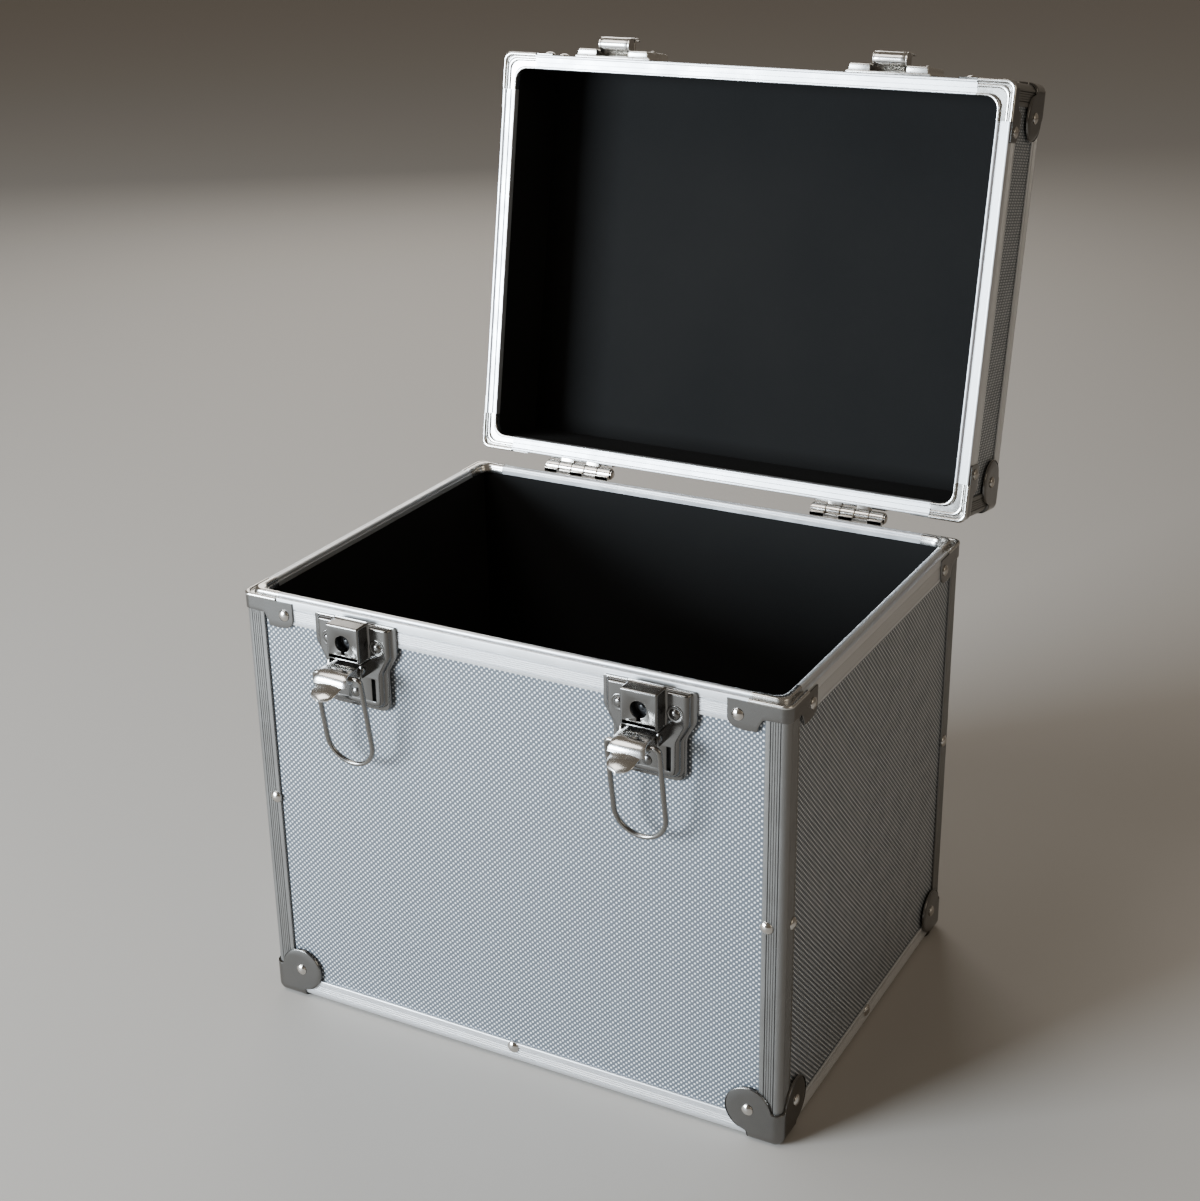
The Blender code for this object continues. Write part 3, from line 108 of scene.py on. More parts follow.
def noise(tree, vector, scale, detail=2, stretch=(1, 1, 1)):
    """Noise at a scale per metre, stretched along the axes."""
    spread = fitted(tree, "ShaderNodeMapping", Vector=vector, Scale=stretch).outputs[0]
    node = fitted(tree, "ShaderNodeTexNoise", Vector=spread, Scale=scale, Detail=detail)
    return node.outputs["Fac"]


def between(tree, value, low, high, to_low=0, to_high=1):
    """A Map Range node that eases a value from one range into another."""
    ends = {"From_Min": low, "From_Max": high, "To_Min": to_low, "To_Max": to_high}
    node = fitted(tree, "ShaderNodeMapRange", Value=value, **ends)
    node.interpolation_type = "SMOOTHSTEP"
    return node.outputs[0]


def blended(tree, share, first, second):
    """A colour between two others."""
    node = tree.nodes.new("ShaderNodeMix")
    node.data_type = "RGBA"
    fed(tree, node.inputs["Factor"], share)
    fed(tree, node.inputs[MIX_FIRST], first)
    fed(tree, node.inputs[MIX_SECOND], second)
    return node.outputs[MIX_RESULT]


def raised_dots():
    """Dot mask on a plane: cos(pi u) cos(pi v) peaks at every other crossing of a square grid."""
    plane = {"Across": FLOAT, "Up": FLOAT}
    group, given, made = socketed_group("raised dots", plane, {"Dot": FLOAT})
    waves = []
    for title in plane:
        turns = calculated(group, "MULTIPLY", given[title], math.pi / DOT_PITCH)
        waves.append(calculated(group, "COSINE", turns))
    product = calculated(group, "MULTIPLY", *waves)
    fed(group, made["Dot"], between(group, product, *DOT_EDGE))
    return group


def worn():
    """Handling marks: soft smudges and fine crossed scratches, both from stretched noise."""
    marks = {"Smudge": FLOAT, "Scratch": FLOAT}
    group, given, made = socketed_group("handling marks", {"Vector": "NodeSocketVector"}, marks)
    clouds = noise(group, given["Vector"], scale=70, detail=4)
    fed(group, made["Smudge"], between(group, clouds, *SMUDGE_EDGE))
    lines = []
    for scale, stretch, low in SCRATCHES:
        streaks = noise(group, given["Vector"], scale, stretch=stretch)
        lines.append(between(group, streaks, low, low + SCRATCH_FADE))
    fed(group, made["Scratch"], calculated(group, "MAXIMUM", *lines))
    return group


DOTS = raised_dots()
MARKS = worn()


def finish(name, metallic=0.0, roughness=0.5):
    """A material, its tree, its shader's inputs and the coordinates that patterns follow."""
    material = bpy.data.materials.new(name)
    material.use_nodes = True
    tree = material.node_tree
    shader = tree.nodes["Principled BSDF"].inputs
    shader["Metallic"].default_value = metallic
    shader["Roughness"].default_value = roughness
    return material, tree, shader, tree.nodes.new("ShaderNodeTexCoord").outputs


def grouped(tree, group, **links):
    """A group placed in a material, with its inputs linked."""
    node = tree.nodes.new("ShaderNodeGroup")
    node.node_tree = group
    for title, socket in links.items():
        tree.links.new(socket, node.inputs[title])
    return node.outputs


def relief(tree, shader, height, distance, strength):
    """Feeds a height, in shares of distance, to the shader's normal."""
    bump = fitted(tree, "ShaderNodeBump", Distance=distance, Strength=strength, Height=height)
    tree.links.new(bump.outputs[0], shader["Normal"])


def darker(colour, share):
    """A colour whose three values are scaled by a share."""
    return (*[share * value for value in colour[:3]], 1)


def embossed(facing, is_lid):
    """The silver skin, with its dots in the plane of two axes of the shut case; each dot is
    painted near white, a painted highlight on its dome.
    """
    name = f"embossed skin, {'lid ' if is_lid else ''}{facing}"
    material, tree, shader, place = finish(name, metallic=0.3)
    turn = (-LID_TURN if is_lid else 0, 0, 0)
    shut = fitted(tree, "ShaderNodeMapping", Vector=place["Object"], Rotation=turn).outputs[0]
    axes = fitted(tree, "ShaderNodeSeparateXYZ", Vector=shut).outputs
    across, up = (axes[axis] for axis in SKIN_AXES[facing])
    dot = grouped(tree, DOTS, Across=across, Up=up)["Dot"]
    smudge = grouped(tree, MARKS, Vector=shut)["Smudge"]
    ground = blended(tree, smudge, SKIN_GROUND, darker(SKIN_GROUND, 0.88))
    # Painted highlight: the dot mask turns the ground near white.
    fed(tree, shader["Base Color"], blended(tree, dot, ground, SKIN_DOT_HIGHLIGHT))
    fed(tree, shader["Roughness"], between(tree, smudge, 0, 1, *SKIN_ROUGHNESS))
    relief(tree, shader, dot, DOT_HEIGHT, strength=0.8)
    return material


def grainy(name, roughness, tones, scale, detail, depth, strength):
    """A matt finish whose tone and relief both follow one fine noise."""
    material, tree, shader, place = finish(name, roughness=roughness)
    grain = noise(tree, place["Object"], scale, detail)
    fed(tree, shader["Base Color"], blended(tree, grain, *tones))
    relief(tree, shader, grain, depth, strength)
    return material


def coat(node, material):
    """Puts a material on a CAD node, whose shape stays."""
    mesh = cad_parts[node].data
    mesh.materials.clear()
    mesh.materials.append(material)


skins = {facing: embossed(facing, False) for facing in ("front", "side")}
for wall, facing in WALLS:
    coat(f"{wall}_panel", skins[facing])
coat("base_panel", grainy("bare black board", 0.7, BOARD_TONES, 900, 4, 0.0002, 0.5))

# Lining: matt black flocked sheet, folded to one tray in the body and one in the lid, and
# glued over the boards inside.
LINING_TONES = ((0.0060, 0.0060, 0.0060, 1), (0.0115, 0.0111, 0.0105, 1))
lining, tree, shader, place = finish("flocked lining", roughness=0.95)
shader["Specular IOR Level"].default_value = 0.15
pile = noise(tree, place["Object"], scale=2600, detail=3)
patches = noise(tree, place["Object"], scale=14, detail=3)
tone = calculated(tree, "MULTIPLY", pile, patches)
fed(tree, shader["Base Color"], blended(tree, tone, *LINING_TONES))
relief(tree, shader, pile, distance=0.0003, strength=0.6)
coat("body_lining", lining)
coat("lid_lining", lining)

# Corner posts: drawn aluminium angle with a rounded edge. Each flange carries a groove, a
# band of fine ribs, a second groove and a flat band along its free edge. Riveted half way up.
WALL = 0.0012
EDGE_RADIUS = 0.0045
FLANGE = 0.014
POST_GROOVE = 0.0049625
POST_BAND = 0.0031
GROOVE_HALF = 0.00035
GROOVE_DEPTH = 0.0008
RIB_PITCH = 0.0012
RIB_HALF = 0.0003
RIB_DEPTH = 0.0004
POST_LOW = 0.0128
POST_HIGH = 0.2771
ALUMINIUM = (0.76, 0.768, 0.78, 1)
# The posts' colour is the same aluminium painted far darker: a painted dark reflection, since
# their upright ribs catch less light than the rims' level ones.
POST_ALUMINIUM_PAINTED_DARK = (0.225, 0.218, 0.207, 1)
DRAWING_LINES = (25, 5200, 1)
ALUMINIUM_ROUGHNESS = (0.30, 0.46)
QUARTER = np.linspace(0, math.pi / 2, 5)
MERGED = 1e-6
SIDES = (("left", -1), ("right", 1))
CORNERS = [
    (f"{end}_{side}", (x_sign, y_sign))
    for end, y_sign in (("front", -1), ("rear", 1))
    for side, x_sign in SIDES
]


def lofted(rings, is_capped=True, is_round=True):
    """Rings (count, points, 3) joined one to the next by quads, with a face over each end if
    capped. UV: u is the distance along the rings, v the distance round the first one."""
    rings = np.asarray(rings, float)
    count, points = rings.shape[:2]
    start = np.arange(count - 1)[:, None] * points
    step = np.arange(points if is_round else points - 1)[None, :]
    after = (step + 1) % points
    far = start + points
    quads = np.stack([start + step, start + after, far + after, far + step], -1)
    faces = quads.reshape(-1, 4).tolist()
    if is_capped:
        faces += [list(range(points))[::-1], list(range((count - 1) * points, count * points))]
    along = np.linalg.norm(np.diff(rings.mean(1), axis=0), axis=1)
    around = np.linalg.norm(np.diff(rings[0], axis=0), axis=1)
    u, v = (np.insert(np.cumsum(lengths), 0, 0) for lengths in (along, around))
    uv = np.stack(np.broadcast_arrays(u[:, None], v[None, :]), -1).reshape(-1, 2)
    return rings.reshape(-1, 3), faces, uv


def opened(parts):
    """Surfaces of the shut lid, turned about its hinge to where they are at rest."""
    turn = np.array(Matrix.Rotation(LID_TURN, 3, "X"))
    return [((points - LID_AXIS) @ turn.T + LID_AXIS, faces, uv) for points, faces, uv in parts]


def linked(name, data):
    """An object of some data, linked to the scene."""
    made = bpy.data.objects.new(name, data)
    bpy.context.scene.collection.objects.link(made)
    return made


def piece(name, parts, coating, body, *stands_for, sharp=40):
    """One mesh from several surfaces, merged where they meet, with a coating (material, slot)
    whose slot is not used.
    It is smooth but for the edges that turn by more than sharp, in degrees."""
    material, slot = coating
    points, shapes, uv = zip(*parts)
    starts = np.cumsum([0, *map(len, points)]).tolist()
    faces = []
    for start, shape in zip(starts, shapes):
        faces += [[index + start for index in face] for face in shape]
    mesh = bpy.data.meshes.new(name)
    mesh.from_pydata(np.vstack(points), [], faces)
    corners = np.empty(len(mesh.loops), np.int32)
    mesh.loops.foreach_get("vertex_index", corners)
    drawn = np.vstack(uv)[corners].astype(np.float32).ravel()
    mesh.uv_layers.new(name="drawn").data.foreach_set("uv", drawn)
    form = bmesh.new()
    form.from_mesh(mesh)
    bmesh.ops.remove_doubles(form, verts=form.verts, dist=MERGED)
    bmesh.ops.recalc_face_normals(form, faces=form.faces)
    form.to_mesh(mesh)
    form.free()
    mesh.shade_smooth()
    mesh.set_sharp_from_angle(angle=math.radians(sharp))
    mesh.materials.append(material)
    made = linked(name, mesh)
    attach(made, body)
    if stands_for:
        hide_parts(*stands_for)


def in_corner(signs, p, q, z):
    """Points p inwards from the case's side and q from its front or rear, z up."""
    x, y = signs[0] * (CASE_WIDTH / 2 - p), signs[1] * (CASE_DEPTH / 2 - q)
    return np.stack(np.broadcast_arrays(x, y, z), -1)


def v_cuts(places, half, depth):
    """Cuts of a V shape, each as its two edges and its deepest point."""
    return [(place + way * half, depth * (way == 0)) for place in places for way in (-1, 0, 1)]


def flange_face(first, groove, last, band):
    """Outer face of a flange: (distance from the edge, depth), with a fine V cut every pitch."""
    second = last - band
    count = int((second - groove) / RIB_PITCH)
    ribs = groove + (second - groove) * np.arange(1, count) / count
    face = [(first, 0), *v_cuts([groove], GROOVE_HALF, GROOVE_DEPTH)]
    face += v_cuts(ribs, RIB_HALF, RIB_DEPTH) + v_cuts([second], GROOVE_HALF, GROOVE_DEPTH)
    ease = band / 6
    face += zip(last - ease + ease * np.sin(QUARTER), ease - ease * np.cos(QUARTER))
    return np.array(face + [(last, WALL)])


def arc(centre, radius, start, end, count):
    """Points round a circle, between two angles in degrees."""
    turn = np.radians(np.linspace(start, end, count))
    return np.stack([centre[0] + radius * np.cos(turn), centre[1] + radius * np.sin(turn)], -1)


def angle_section():
    """Closed section of an edge angle, measured inwards from its two faces."""
    face = flange_face(EDGE_RADIUS, POST_GROOVE, FLANGE, POST_BAND)
    outer = arc((EDGE_RADIUS, EDGE_RADIUS), EDGE_RADIUS, 270, 180, 12)
    inner = arc((EDGE_RADIUS, EDGE_RADIUS), EDGE_RADIUS - WALL, 180, 270, 8)
    return np.vstack([face[::-1], outer[1:-1], face[:, ::-1], inner])


def upright(signs, low, high):
    """The angle section stood in a corner, from low to high."""
    return lofted([in_corner(signs, *ANGLE.T, level) for level in (low, high)])


def drawn_aluminium(name, colour):
    """Satin aluminium with drawing lines along each length: noise stretched along u."""
    material, tree, shader, place = finish(name, metallic=0.8)
    lines = noise(tree, place["UV"], 1, 3, DRAWING_LINES)
    smudge = grouped(tree, MARKS, Vector=place["Object"])["Smudge"]
    fed(tree, shader["Base Color"], blended(tree, lines, darker(colour, 0.9), colour))
    mixed = calculated(tree, "MULTIPLY_ADD", smudge, 0.35, lines)
    fed(tree, shader["Roughness"], between(tree, mixed, 0.2, 1.1, *ALUMINIUM_ROUGHNESS))
    relief(tree, shader, lines, distance=0.00002, strength=0.5)
    return material


ANGLE = angle_section()
aluminium = drawn_aluminium("drawn aluminium", ALUMINIUM), "satin_aluminium"
# Painted shade: the posts get a darker copy of the aluminium.
dark_painted_post_aluminium = drawn_aluminium("drawn aluminium, posts, painted dark", POST_ALUMINIUM_PAINTED_DARK), "satin_aluminium"
for corner, signs in CORNERS:
    post = [upright(signs, POST_LOW, POST_HIGH)]
    piece(f"post_{corner}", post, dark_painted_post_aluminium, "case_body", f"corner_post_{corner}", sharp=12)

# Base edges: the same drawn angle along the four bottom edges, with a rivet in the middle of
# each. It stops short of the corners, which the ball corners cover.
EDGE_END = 0.008
BASE_FACE = -0.0015


def along_sides(section, level, up, end):
    """The section along the front, rear, left and right, to within end of the corners."""
    inwards, z = section[:, 0], level + up * section[:, 1]
    ways = (-1, 1)
    parts = [[in_corner((way, sign), end, inwards, z) for way in ways] for sign in ways]
    parts += [[in_corner((sign, way), inwards, end, z) for way in ways] for sign in ways]
    return [lofted(part) for part in parts]


edges = along_sides(ANGLE, BASE_FACE, 1, EDGE_END)
piece("base_edges", edges, aluminium, "case_body", "base_edge_frame", sharp=12)

# Body rims: drawn aluminium, with an outer ridge, a groove and a rounded bead that the lid's
# channel closes over. Their flange hangs down outside the boards.
RIM_FLANGE = 0.0157
RIM_BAND = 0.0025
RIM_END = 0.0236
RIM_GROOVE = 0.0056


def mm(*rows):
    """Rows of millimetres, in metres."""
    return np.array(rows, float) / 1000


def bead(middle, before, after, rise, count=17):
    """Half an ellipse over its middle, with a half width of its own to each side."""
    turn = np.linspace(math.pi, 0, count)
    half = np.where(turn > math.pi / 2, before, after)
    return np.stack([middle[0] + half * np.cos(turn), middle[1] + rise * np.sin(turn)], -1)


def body_rim_section():
    """(inwards from the face, above the seam), closed."""
    face = flange_face(0.0006, RIM_GROOVE, RIM_FLANGE, RIM_BAND)
    outside = face[::-1, ::-1] * (1, -1)
    ridge = arc((0.0006, -0.0006), 0.0006, 180, 90, 5)[1:]
    ridge_back = arc((0.0012, -0.0005), 0.0005, 90, 0, 4)
    floor = mm((1.7, -1.0), (3.4, -1.0))
    middle = bead((0.0047, 0.0002), 0.0013, 0.0027, 0.0014)
    inside = mm((7.4, -1.0), (8.1, -1.0), (8.3, -1.3), (8.3, -4.0))
    back = mm((6.8, -4.0), (6.8, -2.4), (1.2, -2.4))
    return np.vstack([outside, ridge, ridge_back, floor, middle, inside, back])


for (wall, _), part in zip(WALLS, along_sides(body_rim_section(), SEAM, 1, RIM_END)):
    piece(f"rim_{wall}", [part], aluminium, "case_body", f"body_rim_{wall}", sharp=12)

# Rim corners: pressed steel, chrome plated. A cap carries the rim's ridge and bead round each
# corner, and a skirt under it has a lobe on both sides, riveted over the rim's flange.
# Both colours are one chrome plating: the first is painted far darker, a painted dark reflection
# of the surroundings on flat faces, and the second is the lighter copy for the caps, levers and
# keepers.
CHROME_PAINTED_DARK = (0.188, 0.183, 0.176, 1)
CAP_CHROME = (0.60, 0.585, 0.56, 1)
RIDGE_RADIUS = 0.0013
CORNER_ARM = 0.0235
CORNER_INNER = 0.008
SECTION_DEPTH = 0.0085
SKIRT_FACE = 0.0009
SKIRT_BACK = 0.0001
SKIRT_ROLL = 0.0004
SKIRT_TOP = 0.0018
LEAST_RADIUS = 0.00005
LOBE_STEPS = 9
LOBE = mm(
    (4, -1.8, 0.1), (4, -10.3, 0.2), (14.8, -10.6, 2.4), (17.2, -15, 2.6),
    (18.3, -18.7, 1.1), (26.2, -19, 9), (36, -17.2, 6.2), (36, -1.8, 0.1),
)


def chrome_plate(name, colour, *roughness):
    """Bright plate whose tone and gloss follow soft smudges and fine scratches."""
    material, tree, shader, place = finish(name, metallic=1.0)
    marks = grouped(tree, MARKS, Vector=place["Object"])
    tone = blended(tree, marks["Smudge"], colour, darker(colour, 0.93))
    fed(tree, shader["Base Color"], tone)
    share = calculated(tree, "MULTIPLY_ADD", marks["Scratch"], 0.4, marks["Smudge"])
    fed(tree, shader["Roughness"], between(tree, share, 0, 1.4, *roughness))
    return material


def unit(vectors):
    """Each vector divided by its length."""
    return vectors / np.linalg.norm(vectors, axis=1)[:, None]


def to_left(vectors):
    """Each (a, b) turned a quarter anticlockwise, to (-b, a)."""
    return np.stack([-vectors[:, 1], vectors[:, 0]], -1)


def rounded(corners, steps=7):
    """Closed outline through corners (a, b, radius), each swapped for an arc of its radius."""
    corners = np.asarray(corners, float)
    spots, radii = corners[:, :2], corners[:, 2]
    into = unit(spots - np.roll(spots, 1, 0))
    away = np.roll(into, -1, 0)
    turn = np.arctan2(into[:, 0] * away[:, 1] - into[:, 1] * away[:, 0], (into * away).sum(1))
    side = to_left(into) * np.sign(turn)[:, None]
    start = spots - into * (radii * np.tan(np.abs(turn) / 2))[:, None]
    angle = np.abs(turn)[:, None] * np.linspace(0, 1, steps)[None, :]
    along = (radii[:, None] * np.sin(angle))[..., None] * into[:, None]
    aside = (radii[:, None] * (1 - np.cos(angle)))[..., None] * side[:, None]
    return (start[:, None] + along + aside).reshape(-1, 2)


def moved_in(corners, amount):
    """The corners of an anticlockwise outline, moved inwards, with radii to match."""
    corners = np.asarray(corners, float)
    normals = -to_left(unit(np.roll(corners[:, :2], -1, 0) - corners[:, :2]))
    before = np.roll(normals, 1, 0)
    mitre = (before + normals) / (1 + (before * normals).sum(1))[:, None]
    turn = before[:, 0] * normals[:, 1] - before[:, 1] * normals[:, 0]
    radii = np.maximum(corners[:, 2] - np.sign(turn) * amount, LEAST_RADIUS)
    return np.column_stack([corners[:, :2] - amount * mitre, radii])


def pressed(levels, holes=(), lip=0.0002, steps=7):
    """A plate from outlines at rising levels, (corners, level). Walls join them, and the first
    and last are filled, less the holes, whose walls run right through, eased at the top."""
    base, top = levels[0][1], levels[-1][1]
    stacks = [levels]
    for hole in holes:
        eased = [(moved_in(hole, -lip / 3), top - lip / 3), (moved_in(hole, -lip), top)]
        stacks.append([(hole, base), (hole, top - lip)] + eased)
    points, faces, ends = np.empty((0, 3)), [], []
    for stack in stacks:
        rings = [np.insert(rounded(corners, steps), 2, z, axis=1) for corners, z in stack]
        start, size = len(points), len(rings[0])
        block, quads, _ = lofted(rings, is_capped=False)
        points = np.vstack([points, block])
        faces += [[index + start for index in face] for face in quads]
        ends.append((np.arange(start, start + size), np.arange(len(points) - size, len(points))))
    for end in (0, 1):
        order = np.concatenate([pair[end] for pair in ends])
        loops = [[Vector(points[index]) for index in pair[end]] for pair in ends]
        triangles = tessellate_polygon(loops)
        faces += [[int(order[index]) for index in triangle] for triangle in triangles]
    return points, faces, points[:, :2]


def rolled(corners, ease, top, turns=QUARTER):
    """Levels that round the upper edge of an outline off by a quarter circle."""
    steps = [(ease * (1 - math.cos(turn)), ease * (1 - math.sin(turn))) for turn in turns]
    return [(moved_in(corners, inset), top - drop) for inset, drop in steps]


def plain_plate(corners, low, high, ease):
    """A flat plate whose upper edge is rolled by a quarter round."""
    flat = moved_in(corners, 1.6 * ease)
    return pressed([(corners, low), *rolled(corners, ease, high), (flat, high)])


def rim_corner(section, signs, steps=12):
    """The section carried round one corner. A point z deep turns with a radius of its own,
    which grows from that of the outer edge to that of the inner corner."""
    inwards, rise = section[:, 0], section[:, 1]
    growth = (CORNER_INNER - EDGE_RADIUS) * inwards / SECTION_DEPTH
    radius = np.where(inwards > 0, EDGE_RADIUS + growth, EDGE_RADIUS - inwards)
    turn = np.linspace(0, math.pi / 2, steps)[:, None]
    p = inwards + radius * (1 - np.sin(turn))
    q = inwards + radius * (1 - np.cos(turn))
    arm = np.full((1, len(section)), CORNER_ARM)
    p = np.concatenate([arm, p, inwards[None]])
    q = np.concatenate([inwards[None], q, arm])
    return lofted(in_corner(signs, p, q, SEAM + rise))


def skirt(signs, up):
    """The riveted sheet under a corner's cap: a lobe on each face, joined round the edge.
    Columns run from the top down to the lobe's outline, moved in for each step of its rolled
    edge. The columns at the edge turn about the centre of its rounding."""
    insets = SKIRT_ROLL * (1 - np.sin(QUARTER))
    outline = slice(2 * LOBE_STEPS - 1, 7 * LOBE_STEPS + 1)
    lower = [rounded(moved_in(LOBE, inset), LOBE_STEPS)[outline] for inset in insets]
    for line in lower:
        line[0, 0] = EDGE_RADIUS
    top = lower[0].copy()
    reach = LOBE[-1, 0] - SKIRT_ROLL - EDGE_RADIUS
    limit = EDGE_RADIUS + reach * np.linspace(0, 1, len(top)) ** 0.7
    top[:, 0] = np.minimum(top[:, 0], limit)
    top[:, 1] = -SKIRT_TOP
    shares = np.linspace(0, 1, 5)[:-1]
    rows = [(top * (1 - share) + lower[0] * share, SKIRT_FACE) for share in shares]
    rows += zip(lower, SKIRT_FACE - SKIRT_ROLL * (1 - np.cos(QUARTER)))
    rows += [(lower[-1], SKIRT_BACK), (top, SKIRT_BACK)]
    lines = np.array([line for line, _ in rows])
    heights = np.array([height for _, height in rows])[:, None]
    bend = np.linspace(math.pi / 4, 0, 8)[:-1]
    out = EDGE_RADIUS + heights
    flat = np.broadcast_to(-heights, lines.shape[:2])
    p = np.concatenate([EDGE_RADIUS - out * np.sin(bend), lines[..., 0]], 1)
    q = np.concatenate([EDGE_RADIUS - out * np.cos(bend), flat], 1)
    z = np.concatenate([np.repeat(lines[:, :1, 1], len(bend), 1), lines[..., 1]], 1)
    halves = [in_corner(signs, *way, SEAM - up * z) for way in ((p, q), (q, p))]
    return [lofted(half.transpose(1, 0, 2), is_capped=False) for half in halves]


def body_corner_section():
    """The cap's section: outer skin, rounded ridge, groove, bead and inner edge."""
    outside = mm((-0.3, -2.5), (-0.7, -2.2))
    ridge = arc((0.0001, -0.0012), RIDGE_RADIUS, 200, 0, 14)
    floor = mm((2.0, -1.4), (2.8, -1.4))
    middle = bead((0.0048, 0.0001), 0.0016, 0.0029, 0.0017)
    inside = mm((7.9, -0.8), (8.3, -0.9), (8.5, -1.3), (8.5, -4.2), (0.0, -4.2))
    return np.vstack([outside, ridge, floor, middle, inside])


# Painted dark reflection: plates, skirts, ball corners and the handle base take the darkened copy
# of the chrome.
chrome = chrome_plate("chrome plate", CHROME_PAINTED_DARK, 0.17, 0.27), "bright_chrome"
cap_chrome = chrome_plate("bright chrome plate", CAP_CHROME, 0.2, 0.3), "bright_chrome"
for corner, signs in CORNERS:
    cap = [rim_corner(body_corner_section(), signs)]
    piece(f"rim_cap_{corner}", cap, cap_chrome, "case_body")
    parts = skirt(signs, -1)
    piece(f"rim_skirt_{corner}", parts, chrome, "case_body", f"body_rim_corner_{corner}")

# Ball corners: three discs, each with a tab to the corner, pressed from one sheet and wrapped
# over the three edges that meet there. Those of the body are its feet.
BALL_SKIN = 0.0015
LID_BALL_SKIN = 0.00144
BALL_SHEET = 0.0012
BALL_CENTRE = 0.020
BALL_RADIUS = 0.0147
BALL_TAB = 0.021
BALL_ROLL = 0.0006
BALL_SHARES = np.concatenate([np.linspace(0, 0.3, 9), np.linspace(0.36, 0.94, 8)])
BALL_NOTCH = mm((21.6, 5.2), (23.6, 6))


def ball_rim():
    """One quarter's outline, from the tab on one edge round the disc to the tab on the other."""
    disc = arc((BALL_CENTRE, BALL_CENTRE), BALL_RADIUS, -62, 152, 48)
    straight = np.linspace(-BALL_SKIN, 0.0040, 8)
    tab = np.stack([np.full(8, BALL_TAB), straight], -1)
    return np.vstack([tab, BALL_NOTCH, disc, BALL_NOTCH[::-1, ::-1], tab[::-1, ::-1]])


def ball_corner(signs, level, up, skin):
    """A sheet over three faces of a rounded cube: p goes to q + (p - q) / |p - q| * r, where q
    is p held back to the rounding's centres. Rays run from the cube's corner to the outline."""
    rim = ball_rim() + skin
    length = np.linalg.norm(rim, axis=1)
    whole = np.ones(len(rim))
    rows = [(share * whole, 0) for share in BALL_SHARES]
    for turn in QUARTER[::-1]:
        drop = BALL_ROLL * (math.cos(turn) - 1)
        rows.append((1 - BALL_ROLL * (1 - math.sin(turn)) / length, drop))
    rows += [(share * whole, -BALL_SHEET) for share in (1, *BALL_SHARES[::-4])]
    parts = []
    for first, second in ((0, 1), (1, 2), (2, 0)):
        rings = []
        for share, height in rows:
            spot = np.full((len(rim), 3), -skin)
            spot[:, first] += share * rim[:, 0]
            spot[:, second] += share * rim[:, 1]
            held = np.maximum(spot, EDGE_RADIUS)
            rings.append(held + unit(spot - held) * (EDGE_RADIUS + skin + height))
        p, q, rise = np.moveaxis(rings, -1, 0)
        placed = in_corner(signs, p, q, level + up * rise)
        parts.append(lofted(placed, is_capped=False, is_round=False))
    return parts


for corner, signs in CORNERS:
    ball = ball_corner(signs, BASE_FACE, 1, BALL_SKIN)
    piece(f"base_corner_{corner}", ball, chrome, "case_body", f"ball_corner_{corner}", sharp=50)

# Rivets of the body: nickel-plated domes, one on each flange of the posts and the base edges,
# and through every plate of the corners.
NICKEL = (0.60, 0.57, 0.53, 1)
EDGE_RIVET = (0.0039, 0.0021)
CORNER_RIVET = (0.0036, 0.00175)
RIVET_SIDES = 24
RIVET_SHARES = np.array([0.97, 0.9, 0.78, 0.62, 0.42, 0.2, 0.04])
RIVET_RIM = (0.18, 0.26)
POST_RIVET = (0.0109, 0.1425)
LOBE_RIVET = (0.0296, 0.0102)
BASE_RIVET_LEVEL = 0.0094
X_AXIS, Y_AXIS, Z_AXIS = np.eye(3)


def lathe(profile, centre, out, across, sides=RIVET_SIDES):
    """A profile (radius, height) turned about the direction out."""
    up = np.cross(out, across)
    turn = np.linspace(0, math.tau, sides, endpoint=False)
    around = np.cos(turn)[:, None] * across + np.sin(turn)[:, None] * up
    radii, heights = np.array(profile, float).T
    return lofted(centre + radii[:, None, None] * around + heights[:, None, None] * out)


def domed(radius, rise, centre, out, across):
    """A rivet head: a low rim, then a dome whose height falls with the square of the radius."""
    foot, brim = RIVET_RIM
    dome = np.stack([RIVET_SHARES, brim + (1 - brim) * (1 - RIVET_SHARES**2)], -1)
    profile = np.vstack([[(1, 0), (1, foot)], dome]) * (radius, rise)
    return lathe(profile, centre, out, across)


def corner_rivets(signs, size, reach, level, skin):
    """A rivet on each of the two upright faces beside a corner."""
    front, side = in_corner(signs, reach, -skin, level), in_corner(signs, -skin, reach, level)
    heads = (front, signs[1] * Y_AXIS, X_AXIS), (side, signs[0] * X_AXIS, Y_AXIS)
    return [domed(*size, *head) for head in heads]


nickel = chrome_plate("nickel plate", NICKEL, 0.12, 0.26), "bright_steel"
inwards, drop = LOBE_RIVET
rivets = []
for _, signs in CORNERS:
    rivets += corner_rivets(signs, EDGE_RIVET, *POST_RIVET, 0)
    rivets += corner_rivets(signs, CORNER_RIVET, inwards, SEAM - drop, SKIRT_FACE)
    rivets += corner_rivets(signs, CORNER_RIVET, BALL_CENTRE, BASE_FACE + BALL_CENTRE, BALL_SKIN)
for sign in (-1, 1):
    for half, out, across in ((CASE_DEPTH / 2, Y_AXIS, X_AXIS), (CASE_WIDTH / 2, X_AXIS, Y_AXIS)):
        spot = sign * half * out + BASE_RIVET_LEVEL * Z_AXIS
        rivets.append(domed(*EDGE_RIVET, spot, sign * out, across))
piece("body_rivets", rivets, nickel, "case_body", sharp=32)

